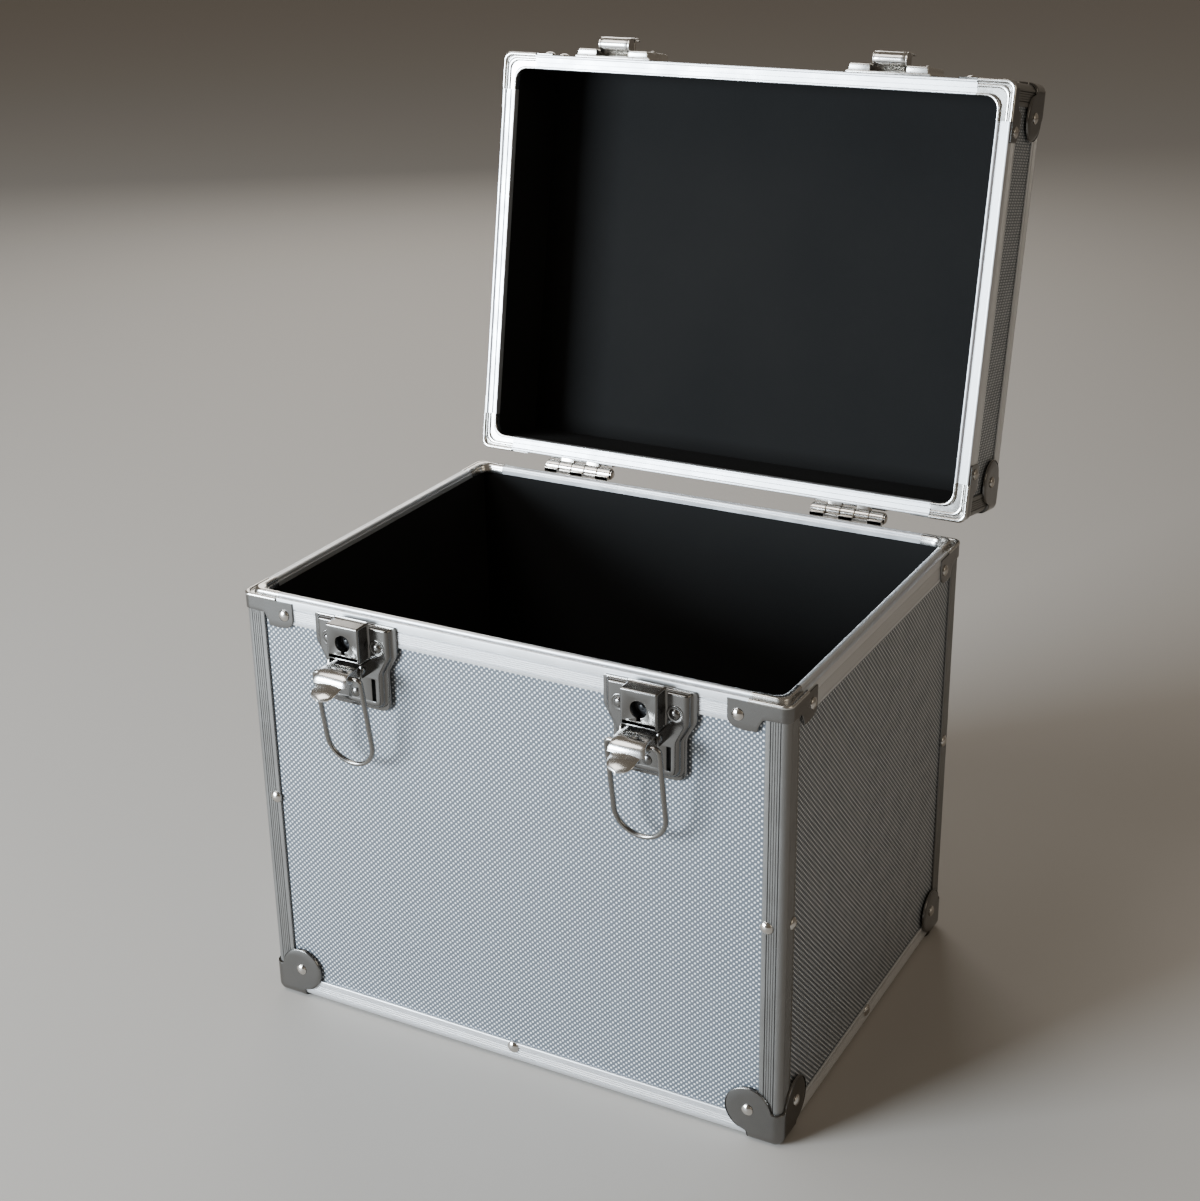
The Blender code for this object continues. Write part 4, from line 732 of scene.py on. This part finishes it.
# Latch plates: a pressed base with a raised pan, rolled over softly at its sides, two slots and
# two dished rivets. The box of the lock stands on it, with a keyhole and a slot for the lever.
LATCH_FACE = (X_AXIS, Z_AXIS, -Y_AXIS)
LATCH_SIDE = (-Y_AXIS, Z_AXIS, X_AXIS)
LATCH_PLACE = 0.0965
LATCHES = [(side, (sign * LATCH_PLACE, -CASE_DEPTH / 2, SEAM)) for side, sign in SIDES]
PAN_PROFILE = (
    (0.00, 0.3), (0.00, 1.2), (0.03, 1.42), (0.10, 1.5), (0.45, 1.5), (0.68, 1.65), (0.85, 2.1),
    (0.97, 2.8), (1.05, 3.5), (1.17, 4.15), (1.36, 4.65), (1.60, 4.92), (1.88, 5.0), (2.00, 5.0),
)
PAN_TOP = 0.005
BOX_TOP = 0.015
BOX_FILLET = 0.0012
BOX_ROLL = 0.0011
BOX_FLAT = 0.0014
KEYHOLE = (0.0, -0.0128, 0.0050)
SLIT_LOW = -0.0199
SLIT_HALF = 0.0012
SIDE_SLOT = (0.0118, 0.0144, -0.0513, -0.0368)
SLOT_RADIUS = 0.0004
SLOT_LAP = 0.0004
# Depths of the black blocks under the plate's slots: painted shade where the slots show through.
SLOT_SHADE_DEPTHS = (0.0004, 0.0022)
EASE = 0.0003
PLATE_RIVET = mm(
    (5.2, 0), (5, 0.22), (4.6, 0.3), (4.1, 0.18), (3.5, 0.03),
    (3.15, 0.1), (2.9, 0.75), (2.3, 1.3), (1.3, 1.62), (0.2, 1.72),
)
PLATE_RIVET_SPOT = (0.017, -0.0162)
ROUND_SIDES = 32
FOOT_RIVET = (0.003, 0.0014)
FOOT_RIVET_LEVEL = -0.0475
LEVER_PIN = (0.0, -0.012, -0.0287)
PIN_HEAD = (0.0024, 0.0012)
EAR = mm(
    (1.5, -33, 0.4), (14, -33, 1.5), (15.2, -28.7, 3), (14, -24.5, 1.5),
    (1.5, -24.5, 0.4),
)
EAR_MIDDLE = 0.01125
EAR_HALF = 0.0006
LOCK_CUP = mm(
    (5, 8.3), (5, 9.2), (4.6, 9.5), (3, 9.5), (2.8, 10.1), (2.1, 10.1),
    (1.9, 9.2), (1.3, 9.2), (1.2, 11.2), (0.8, 11.4), (0.1, 11.4),
)
# A black block behind the keyhole and the lever's slot in the box: painted shade inside the box.
LOCK_SHADE_BLOCK = ((-0.0104, -0.0230), (0.0104, -0.0060), 0.0060, 0.0090)
PLASTIC_TONES = ((0.010, 0.010, 0.011, 1), (0.022, 0.022, 0.024, 1))


def mirrored(*half):
    """Corners of a right half in millimetres, and then their mirror images, in metres."""
    half = mm(*half)
    return np.vstack([half, half[::-1] * (-1, 1, 1)])


PLATE = mirrored((22.3, -58.3, 7), (22.6, -31, 7.5), (28.5, -20.5, 7.5), (28.5, -2.8, 1.6))
PAN = mirrored((19, -55.3, 5.5), (19.2, -32.5, 8), (25.1, -22, 6.5), (25.1, -4, 1.2))
BOX = mirrored((11.3, -23.7, 1.2), (11.3, -1.7, 1.2))
FACE_SLOT = mirrored((9.8, -22.8, 0.3), (9.8, -20.8, 0.3))


def set_at(part, axes, origin=(0, 0, 0)):
    """A part drawn in its own plane, set at a place along three directions."""
    points, faces, uv = part
    return points @ np.array(axes) + origin, faces, uv


def slab(corners, half, ease, axes, middle):
    """A plate that is rolled on both faces: two plates, back to back."""
    plate = plain_plate(corners, 0, half, ease)
    return [set_at(plate, (*axes[:2], way * axes[2]), middle) for way in (-1, 1)]


def block(low, high, near, far, ease=0.0002):
    """A rounded block between two corners of its outline and two levels."""
    (a, b), (c, d) = low, high
    return plain_plate(((a, b, ease), (c, b, ease), (c, d, ease), (a, d, ease)), near, far, ease)


def moved(parts, *steps):
    """Surfaces shifted by the sum of the steps."""
    return [(points + np.sum(steps, axis=0), faces, uv) for points, faces, uv in parts]


def keyhole_points():
    """A circle with a slit below it, as corners of next to no radius."""
    *centre, radius = KEYHOLE
    gap = math.degrees(math.asin(SLIT_HALF / radius))
    circle = arc(centre, radius, gap - 90, 270 - gap, 40)
    slit = [(-SLIT_HALF, SLIT_LOW), (SLIT_HALF, SLIT_LOW)]
    return np.insert(np.concatenate([circle, slit]), 2, 0.00002, axis=1)


def latch_plate():
    """The plate, box, ears, pin and rivets about the point of the seam above the middle."""
    levels = [(PLATE + share * (PAN - PLATE), level / 1000) for share, level in PAN_PROFILE]
    left, right, low, high = SIDE_SLOT
    slot = np.array([(right, low), (right, high), (left, high), (left, low)])
    slots = [np.insert(outline, 2, SLOT_RADIUS, 1) for outline in (slot, slot[::-1] * (-1, 1))]
    box = []
    for turn in QUARTER:
        rise = BOX_FILLET * (1 - math.cos(turn))
        box.append((moved_in(BOX, -BOX_FILLET * (1 - math.sin(turn))), PAN_TOP + rise))
    box += rolled(BOX, BOX_ROLL, BOX_TOP, np.linspace(0, math.pi / 2, 6))
    box.append((moved_in(BOX, BOX_FLAT), BOX_TOP))
    drawn = [pressed(levels, slots, steps=9), pressed(box, [keyhole_points(), FACE_SLOT], EASE)]
    parts = [set_at(part, LATCH_FACE) for part in drawn]
    across, level = PLATE_RIVET_SPOT
    for sign in (-1, 1):
        spot = (sign * across, -PAN_TOP, level)
        parts.append(lathe(PLATE_RIVET, spot, -Y_AXIS, X_AXIS, ROUND_SIDES))
        parts += slab(EAR, EAR_HALF, EASE, LATCH_SIDE, (sign * EAR_MIDDLE, 0, 0))
        spot = (sign * (EAR_MIDDLE + EAR_HALF), *LEVER_PIN[1:])
        parts.append(domed(*PIN_HEAD, spot, sign * X_AXIS, Y_AXIS))
    parts.append(domed(*FOOT_RIVET, (0, -PAN_TOP, FOOT_RIVET_LEVEL), -Y_AXIS, X_AXIS))
    return parts


def lock_core():
    """What shows black in the openings: the lock's sunk face and post, and black blocks of painted
    shade behind the box's openings and under the plate's slots.
    """
    parts = [lathe(LOCK_CUP, (0, 0, KEYHOLE[1]), -Y_AXIS, X_AXIS, ROUND_SIDES)]
    parts.append(set_at(block(*LOCK_SHADE_BLOCK), LATCH_FACE))
    left, right, low, high = SIDE_SLOT + SLOT_LAP * np.array([-1, 1, -1, 1])
    for near, far in ((left, right), (-right, -left)):
        # Painted shade: a black block under each slot.
        slot_shade = block((near, low), (far, high), *SLOT_SHADE_DEPTHS)
        parts.append(set_at(slot_shade, LATCH_FACE))
    return parts


plastic = grainy("moulded black plastic", 0.42, PLASTIC_TONES, 1500, 3, 0.0001, 0.4)
moulded = plastic, "black_plastic"
for side, spot in LATCHES:
    parts = moved(latch_plate(), spot)
    piece(f"plate_{side}", parts, chrome, "case_body", f"latch_plate_{side}")
    piece(f"lock_core_{side}", moved(lock_core(), spot), moulded, "case_body")

# Thumb levers: one strip of steel rolled round the pin, bent down to a lip and out to a thumb
# tongue, with cheeks at its sides that hold the bail, and a slotted tail for the lock's bolt.
LEVER_PATH = mm(
    (-0.8, 2.9, 10.3), (1.2, 3, 10.3), (7, 2.9, 10.3), (12, 2.4, 10.3),
    (15.5, 0.8, 10.6), (17.2, -1.6, 11.2), (17.9, -4.4, 11.6),
)
TONGUE_PATH = mm(
    (13.5, -0.6, 9), (16.5, -3.4, 8.9), (20, -4.4, 8.7), (23.2, -5.1, 8.5), (25.8, -6.1, 8),
    (27.8, -7.4, 6.8), (29, -8.6, 4.8), (29.5, -9.3, 2.4), (29.7, -9.6, 1),
)
LEVER_SHEET = 0.0009
LEVER_CROWN = 0.0005
TONGUE_CROWN = 0.0012
LEVER_TAIL = mm(
    (-6.4, -5.5, -9.2, 9.2), (-3.5, -1.2, -9.2, 9.2),
    (-5.7, -3.3, -9.2, -7.9), (-5.7, -3.3, 7.9, 9.2),
)
LEVER_BARREL = mm((2, -9.8), (2.8, -9.8), (2.8, 9.8), (2, 9.8))
CHEEK = mm(
    (0.4, -3, 2), (10.5, -5, 3), (14, -2.2, 3), (15, 0.2, 2),
    (12.8, 2, 2), (8, 2.7, 3), (-0.6, 3, 1.8),
)
CHEEK_PLACE = 0.0097
CHEEK_HALF = 0.0006


def eased_path(stations, rounds=3):
    """A path whose corners are cut a quarter of the way along each stretch, again and again."""
    path = np.array(stations, float)
    for _ in range(rounds):
        near = 0.75 * path[:-1] + 0.25 * path[1:]
        far = 0.25 * path[:-1] + 0.75 * path[1:]
        cut = np.stack([near, far], 1).reshape(-1, path.shape[1])
        path = np.vstack([path[:1], cut, path[-1:]])
    return path


def beside(path):
    """The direction to the left of a flat path, at each of its points."""
    return to_left(unit(np.gradient(path, axis=0)))


def strap(path, thickness, crown=0.0, steps=9):
    """A strip with rounded edges carried along (first, second, half width). Its middle is
    raised over its edges by the crown."""
    middle, half = path[:, :2], np.maximum(path[:, 2], thickness)
    flat = np.linspace(-1, 1, steps)
    turn = np.linspace(-math.pi / 2, math.pi / 2, 5)[1:-1]
    inner, edge = half[:, None] - thickness / 2, thickness / 2 * np.cos(turn)
    across = [inner * flat, inner + edge[::-1], inner * flat[::-1], -inner - edge]
    across = np.concatenate(across, 1)
    rows = [np.ones(steps), np.sin(turn)[::-1], -np.ones(steps), np.sin(turn)]
    height = thickness / 2 * np.concatenate(rows) - crown * (across / half[:, None]) ** 2
    flat_part = middle[:, None] + height[..., None] * beside(middle)[:, None]
    return lofted(np.concatenate([flat_part, across[..., None]], -1))


for side, spot in LATCHES:
    strips = [strap(eased_path(LEVER_PATH), LEVER_SHEET, LEVER_CROWN)]
    strips.append(strap(eased_path(TONGUE_PATH, 2), LEVER_SHEET, TONGUE_CROWN))
    for low, high, near, far in LEVER_TAIL:
        strips.append(block((-LEVER_SHEET, low), (LEVER_SHEET, high), near, far))
    parts = [set_at(strip, LATCH_SIDE) for strip in strips]
    for way in (-1, 1):
        parts += slab(CHEEK, CHEEK_HALF, EASE, LATCH_SIDE, (way * CHEEK_PLACE, 0, 0))
    parts.append(lathe(LEVER_BARREL, (0, 0, 0), X_AXIS, Y_AXIS))
    parts, name = moved(parts, spot, LEVER_PIN), f"latch_lever_{side}"
    piece(f"lever_{side}", parts, cap_chrome, name, name)

# Lock bolts: a flat tongue of nickel-plated steel in each box, which slides down into the slot
# of the shut lever's tail.
BOLT = ((-0.0076, -0.0234), (0.0076, -0.0124), 0.0069, 0.0081)
for side, spot in LATCHES:
    bolt, name = set_at(block(*BOLT), LATCH_FACE, spot), f"lock_bolt_{side}"
    piece(f"bolt_{side}", [bolt], nickel, name, name, sharp=32)

# Bails: round steel wire bent to a long loop. Its ends turn in through the lever's cheeks, and
# its round end closes over the keeper's hook.
WIRE_STEEL = (0.25, 0.24, 0.225, 1)
BAIL_HALF = 0.016
BAIL_LENGTH = 0.0623
WIRE = 0.0016
BAIL_BEND = 0.0028
BAIL_STUB = 0.0074
BAIL_LEAN = math.radians(9.5)
BAIL_PIVOT = (0, -0.022, -0.0302)


def bail_path():
    """Centre line of the wire about its pivot: stub, quarter bend, leg, half round, and back."""
    bend = arc((BAIL_HALF - BAIL_BEND, -BAIL_BEND), BAIL_BEND, 90, 0, 8)
    round_end = arc((0, BAIL_HALF - BAIL_LENGTH), BAIL_HALF, 0, -90, 20)
    right = np.vstack([[(BAIL_HALF - BAIL_STUB, 0)], bend, round_end])
    return np.vstack([right, right[-2::-1] * (-1, 1)])


def wire(path, radius, sides=16):
    """A round section carried along a flat path: at each point it stands square to the path."""
    turn = np.linspace(0, math.tau, sides, endpoint=False)
    flat = path[:, None] - radius * np.cos(turn)[None, :, None] * beside(path)[:, None]
    depth = np.broadcast_to(radius * np.sin(turn), flat.shape[:2])
    return np.stack([flat[..., 0], depth, flat[..., 1]], -1)


wire_steel = chrome_plate("wire steel", WIRE_STEEL, 0.18, 0.28), "bright_steel"
lean = np.array(Matrix.Rotation(BAIL_LEAN, 3, "X"))
for side, spot in LATCHES:
    bail = moved([lofted(wire(bail_path(), WIRE) @ lean.T)], spot, BAIL_PIVOT)
    name = f"latch_bail_{side}"
    piece(f"bail_{side}", bail, wire_steel, name, name, sharp=32)

# Hinges: two pressed butt hinges of nickel-plated steel, riveted to the rear rims. Their pins
# join body and lid, and a lug on the body's leaf stops the open lid.
REAR_FACE = (X_AXIS, Z_AXIS, Y_AXIS)
REAR_SIDE = (Y_AXIS, Z_AXIS, X_AXIS)
HINGE_PLACE = 0.100
HINGE_HALF = 0.025
LEAF_ENDS = ((0.6, 0.6), (28.0, 4.0))
LEAF_BACK = -0.0062
LEAF_FACE = -0.0047
KNUCKLES = 5
KNUCKLE = mm((1.7, -4.8), (3.7, -4.8), (4, -4.5), (4, 4.5), (3.7, 4.8), (1.7, 4.8))
KNUCKLE_HALF = 0.0048
NECK = 0.0030
HINGE_RIVET = (0.0027, 0.0014)
HINGE_SPOTS = ((0.017, 0.0105), (0.017, 0.0215))
HINGE_STOP = ((-0.0060, -0.0040), (0.0, -0.0012), -0.003, 0.003)
HINGE_PIN = mm((0.1, -26.1), (2.6, -25.9), (3, -25.6), (3, -25.2), (1.6, -25.1))


def hinge_leaf(up):
    """A leaf with its knuckles and rivets about the hinge's axis, going up or down from it."""
    ends = sorted((up * place, radius) for place, radius in LEAF_ENDS)
    outline = mirrored(*[(HINGE_HALF * 1000, *end) for end in ends])
    parts = [set_at(plain_plate(outline, LEAF_BACK, LEAF_FACE, 0.0004), REAR_FACE)]
    low, high = sorted((0, up * NECK))
    neck = block((LEAF_BACK, low), (0.0004, high), -KNUCKLE_HALF, KNUCKLE_HALF)
    for number in range(int(up > 0), KNUCKLES, 2):
        middle = ((2 * number + 1) / KNUCKLES - 1) * HINGE_HALF * X_AXIS
        parts.append(lathe(KNUCKLE, middle, X_AXIS, Y_AXIS, ROUND_SIDES))
        parts.append(set_at(neck, REAR_SIDE, middle))
    for across, along in HINGE_SPOTS:
        for sign in (-1, 1):
            spot = (sign * across, LEAF_FACE, up * along)
            parts.append(domed(*HINGE_RIVET, spot, Y_AXIS, X_AXIS))
    return parts


for side, sign in SIDES:
    spot = LID_AXIS + sign * HINGE_PLACE * X_AXIS
    parts = moved([*hinge_leaf(-1), set_at(block(*HINGE_STOP), REAR_SIDE)], spot)
    piece(f"body_hinge_{side}", parts, nickel, "case_body", f"hinge_body_leaf_{side}")
    pin = lathe(np.vstack([HINGE_PIN, HINGE_PIN[::-1] * (1, -1)]), spot, X_AXIS, Y_AXIS)
    piece(f"pivot_pin_{side}", [pin], nickel, "case_body", f"hinge_pin_{side}")
    parts = opened(moved(hinge_leaf(1), spot))
    piece(f"lid_hinge_{side}", parts, nickel, "lid", f"hinge_lid_leaf_{side}")

# Lid: its own four walls and top board with the same skin, between the same drawn edges. Its
# rims close over those of the body, and its corners and rivets are like the body's.
LID_POST_LOW = SEAM + 0.0043
lid_skins = {facing: embossed(facing, True) for facing in SKIN_AXES}
for wall, facing in WALLS:
    coat(f"lid_{wall}_wall", lid_skins[facing])
coat("lid_top_panel", lid_skins["top"])


def lid_rim_section():
    """(inwards from the face, above the seam): flange, outer lip, channel, inner lip."""
    face = flange_face(0.0008, RIM_GROOVE, RIM_FLANGE, RIM_BAND)
    outside = face[::-1, ::-1]
    lip = arc((0.0006, 0.0009), 0.0006, 180, 270, 5)
    lip_back = arc((0.0012, 0.0008), 0.0005, 270, 360, 4)
    channel = mm((1.9, 1.7), (4.9, 1.7), (5.1, 2.6), (7.9, 2.6))
    inner = mm((7.9, 0.9), (8.3, 0.4), (8.9, 0.4), (9.3, 0.9), (9.3, 5.5))
    back = mm((6.8, 5.5), (6.8, 4.0), (1.2, 4.0))
    return np.vstack([outside, lip, lip_back, channel, inner, back])


def lid_corner_section():
    """The cap of the lid's rim corners: outer skin, lip, low bead, groove and inner lip."""
    outside, start = mm((-0.3, 2.9), (-0.7, 2.6)), mm((1.8, 2.6))
    lip = arc((0.0001, 0.0016), RIDGE_RADIUS, 160, 360, 14)
    middle = bead((0.0033, 0.0026), 0.0012, 0.0012, -0.0009, 13)
    inner = arc((0.0087, 0.0011), 0.0008, 180, 360, 9)
    end, back = mm((7.8, 2.6)), mm((9.5, 5.5), (0.0, 5.5))
    return np.vstack([outside, lip, start, middle, end, inner, back])


edges = opened(along_sides(ANGLE, LID_TOP, -1, EDGE_END))
piece("lid_edges", edges, aluminium, "lid", "lid_edge_frame", sharp=12)
# The lid's posts take the same darker copy of the aluminium, a painted dark reflection.
posts = opened([upright(signs, LID_POST_LOW, LID_TOP - EDGE_END) for _, signs in CORNERS])
piece("lid_posts", posts, dark_painted_post_aluminium, "lid", sharp=12)
rims = opened(along_sides(lid_rim_section(), SEAM, 1, RIM_END))
for (wall, _), rim in zip(WALLS, rims):
    piece(f"lid_rim_piece_{wall}", [rim], aluminium, "lid", f"lid_rim_{wall}", sharp=12)
rivets = []
for corner, signs in CORNERS:
    cap = opened([rim_corner(lid_corner_section(), signs)])
    piece(f"lid_rim_cap_{corner}", cap, cap_chrome, "lid")
    parts = opened(skirt(signs, 1))
    piece(f"lid_rim_skirt_{corner}", parts, chrome, "lid", f"lid_rim_corner_{corner}")
    ball = opened(ball_corner(signs, LID_TOP, -1, LID_BALL_SKIN))
    piece(f"lid_top_corner_{corner}", ball, chrome, "lid", f"lid_ball_corner_{corner}", sharp=50)
    rivets += corner_rivets(signs, CORNER_RIVET, inwards, SEAM + drop, SKIRT_FACE)
    rivets += corner_rivets(signs, CORNER_RIVET, BALL_CENTRE, LID_TOP - BALL_CENTRE, BALL_SKIN)
    spot = in_corner(signs, BALL_CENTRE, BALL_CENTRE, LID_TOP + BALL_SKIN)
    rivets.append(domed(*CORNER_RIVET, spot, Z_AXIS, X_AXIS))
piece("lid_rivets", opened(rivets), nickel, "lid", sharp=32)

# Keepers: a riveted plate on the lid's front, with a pan raised to both sides of a gap, and a
# hook rolled up out of the gap, over which the bail closes.
KEEPER = mirrored((28, 1.2, 0.8), (28, 37.2, 3.5))
KEEPER_LEVELS = (0.0003, 0.0015)
PAN_FOOT = mirrored((11.8, 21.5, 1.5), (11.8, 1.3, 0.4), (26.6, 1.3, 0.5), (26.6, 35.2, 3.5))
PAN_FLAT = mirrored((12, 21.8, 1.5), (12, 1.4, 0.4), (25.4, 1.4, 0.5), (25.4, 33.8, 2.8))
KEEPER_PROFILE = ((-0.25, 1.45), (0.0, 1.6), (0.3, 2.0), (0.5, 3.0), (0.6, 4.4), (0.75, 5.2))
KEEPER_TOP = 0.0058
KEEPER_ROLL = 0.0006
HOOK_HALF = 0.0104
HOOK_SHEET = 0.0014
HOOK_PATH = mm(
    (0.8, 12.5), (1.9, 12.2), (3.4, 10.6), (4.7, 8), (5.8, 5.3), (7, 3.3), (9, 2.4),
    (11.3, 2.8), (12.9, 4.6), (13.4, 7.2), (13.7, 11), (13.8, 15), (13.8, 18),
    (13.6, 19.7), (13.1, 20.7), (12.7, 21),
)
HOOK_WALL = ((-0.0098, 0.0140), (0.0098, 0.0158), 0.0008, 0.0136)
HOOK_EAR = mm((4.6, -0.2), (4.6, 0.6), (4.3, 0.9), (3.4, 0.9), (0.1, 0.7))
HOOK_EAR_SPOT = (-0.0094, 0.0067)
KEEPER_RIVET = PLATE_RIVET * (0.62, 0.9)
KEEPER_RIVET_SPOT = (0.017, 0.0275)
for side, spot in LATCHES:
    rise = PAN_FLAT - PAN_FOOT
    pan = [(PAN_FOOT + share * rise, level / 1000) for share, level in KEEPER_PROFILE]
    pan += rolled(PAN_FLAT, KEEPER_ROLL, KEEPER_TOP, np.linspace(0.2, math.pi / 2, 4))
    drawn = [plain_plate(KEEPER, *KEEPER_LEVELS, 0.0005), pressed(pan), block(*HOOK_WALL)]
    parts = [set_at(part, LATCH_FACE) for part in drawn]
    hook = np.insert(eased_path(HOOK_PATH), 2, HOOK_HALF, axis=1)
    parts.append(set_at(strap(hook, HOOK_SHEET), LATCH_SIDE))
    across, level = KEEPER_RIVET_SPOT
    for way in (-1, 1):
        parts.append(lathe(HOOK_EAR, (way * HOOK_HALF, *HOOK_EAR_SPOT), way * X_AXIS, Y_AXIS))
        parts.append(lathe(KEEPER_RIVET, (way * across, -KEEPER_TOP, level), -Y_AXIS, X_AXIS))
    parts = opened(moved(parts, spot))
    piece(f"keeper_plate_{side}", parts, cap_chrome, "lid", f"keeper_{side}")

# Handle: a pressed base with two posts on the lid's top, and a moulded black grip that swings
# on pins between them.
HANDLE_FLOOR = LID_TOP - 0.0012
HANDLE_AXIS = HANDLE_FLOOR + 0.0095
HANDLE_BASE = mirrored((64, -13, 10), (64, 13, 10))
HANDLE_SHEET = 0.0025
HANDLE_POST = mm((-6.5, 1, 0.4), (6.5, 1, 0.4), (6.2, 16, 6.1), (-6.2, 16, 6.1))
POST_MIDDLE = 0.056
POST_HALF = 0.003
HANDLE_PIN = mm((0.1, 47), (1.9, 47), (2.2, 47.3), (2.2, 54), (0.1, 54))
HANDLE_RIVET = (0.0021, 0.0011)
HANDLE_RIVET_SPOT = (0.0475, 0.0085)
GRIP_REACH = 0.036
GRIP_FOOT = 0.0053
GRIP_BAR = 0.0068
GRIP_PATH = mm(
    (50, -4.5, 2.6), (50, 4, 2.7), (50, 12, 2.7), (49.7, 22, 3),
    (46.5, 32.5, 4.6), (37.7, 35.5, 6.4), (22.7, 36.2, 6.8), (0, 36.5, 6.8),
)


def tapered_bar(path, high):
    """A squarish ellipse, carried along (x, y, half width): as wide as its path says, and as
    high as high says at each station."""
    middle, half = path[:, :2], path[:, 2]
    turn = np.linspace(0, math.tau, 24, endpoint=False)
    wide, tall = (np.sign(wave) * np.abs(wave) ** 0.7 for wave in (np.cos(turn), np.sin(turn)))
    flat = middle[:, None] + (half[:, None] * wide)[..., None] * beside(middle)[:, None]
    return lofted(np.concatenate([flat, (high[:, None] * tall)[..., None]], -1))


base = plain_plate(HANDLE_BASE, 0, HANDLE_SHEET, 0.0008)
parts = [set_at(base, (X_AXIS, Y_AXIS, Z_AXIS), (0, 0, HANDLE_FLOOR))]
along, across = HANDLE_RIVET_SPOT
for sign in (-1, 1):
    parts += slab(HANDLE_POST, POST_HALF, 0.0008, REAR_SIDE, (sign * POST_MIDDLE, 0, HANDLE_FLOOR))
    parts.append(lathe(HANDLE_PIN, (0, 0, HANDLE_AXIS), sign * X_AXIS, Y_AXIS))
    for way in (-1, 1):
        spot = (sign * along, way * across, HANDLE_FLOOR + HANDLE_SHEET)
        parts.append(domed(*HANDLE_RIVET, spot, Z_AXIS, X_AXIS))
parts = opened(parts)
piece("handle_base_plate", parts, chrome, "lid", "handle_base")

half_path = eased_path(GRIP_PATH, 2)
path = np.vstack([half_path, half_path[-2::-1] * (-1, 1, 1)])
reach_share = np.clip(path[:, 1] / GRIP_REACH, 0, 1)
grip = tapered_bar(path, GRIP_FOOT + (GRIP_BAR - GRIP_FOOT) * reach_share**2)
grip = opened(moved([grip], HANDLE_AXIS * Z_AXIS))
piece("handle_grip_bar", grip, moulded, "handle", "handle_grip", sharp=50)

# Stage: a pale matt floor, four large soft lights and a dim surround, and the camera at the
# photograph's viewing angle.
FLOOR = -0.003
FLOOR_TONE = (0.42, 0.392, 0.36, 1)
WORLD_TONE = (0.36, 0.31, 0.25, 1)
CAMERA_SPOT = (0.53367, -0.98555, 0.72806)
AZIMUTH = math.radians(28.798)
ELEVATION = math.radians(22.845)
ROLL = math.radians(-0.972)
LENS = 58.713

bpy.ops.mesh.primitive_plane_add(size=12, location=(0, 2, FLOOR))
floor = bpy.context.object
floor.name = "floor"
pale, _, shader, _ = finish("pale floor", roughness=0.7)
shader["Base Color"].default_value = FLOOR_TONE
floor.data.materials.append(pale)


def soft_light(name, spot, height, size, power, colour):
    """A large area light that faces a height on the case's middle."""
    lamp = bpy.data.lights.new(name, "AREA")
    lamp.shape = "RECTANGLE"
    lamp.size, lamp.size_y = size
    lamp.energy = power
    lamp.color = colour
    holder = linked(name, lamp)
    holder.location = spot
    away = Vector(spot) - Vector((0, 0, height))
    holder.rotation_euler = away.to_track_quat("Z", "Y").to_euler()


soft_light("key", (-1.7, -2.3, 0.75), 0.2, (1.3, 0.9), 255, (0.79, 0.90, 1.0))
soft_light("top", (-1.0, -0.85, 2.1), 0.2, (1.3, 1.1), 24, (1.0, 0.98, 0.95))
soft_light("fill", (2.3, -0.5, 1.3), 0.2, (1.2, 1.2), 7, (1.0, 0.90, 0.74))
soft_light("back", (-1.3, 1.9, 1.3), 0.25, (1.4, 1.2), 18, (1.0, 0.97, 0.92))

world = bpy.data.worlds.new("studio")
bpy.context.scene.world = world
world.use_nodes = True
surround = world.node_tree.nodes["Background"].inputs
surround["Color"].default_value = WORLD_TONE
surround["Strength"].default_value = 0.5

lens = bpy.data.cameras.new("camera")
lens.lens = LENS
lens.clip_end = 50
camera = linked("camera", lens)
camera.location = CAMERA_SPOT
facing = Matrix.Rotation(AZIMUTH, 4, "Z") @ Matrix.Rotation(math.pi / 2 - ELEVATION, 4, "X")
camera.rotation_euler = (facing @ Matrix.Rotation(ROLL, 4, "Z")).to_euler()
bpy.context.scene.camera = camera
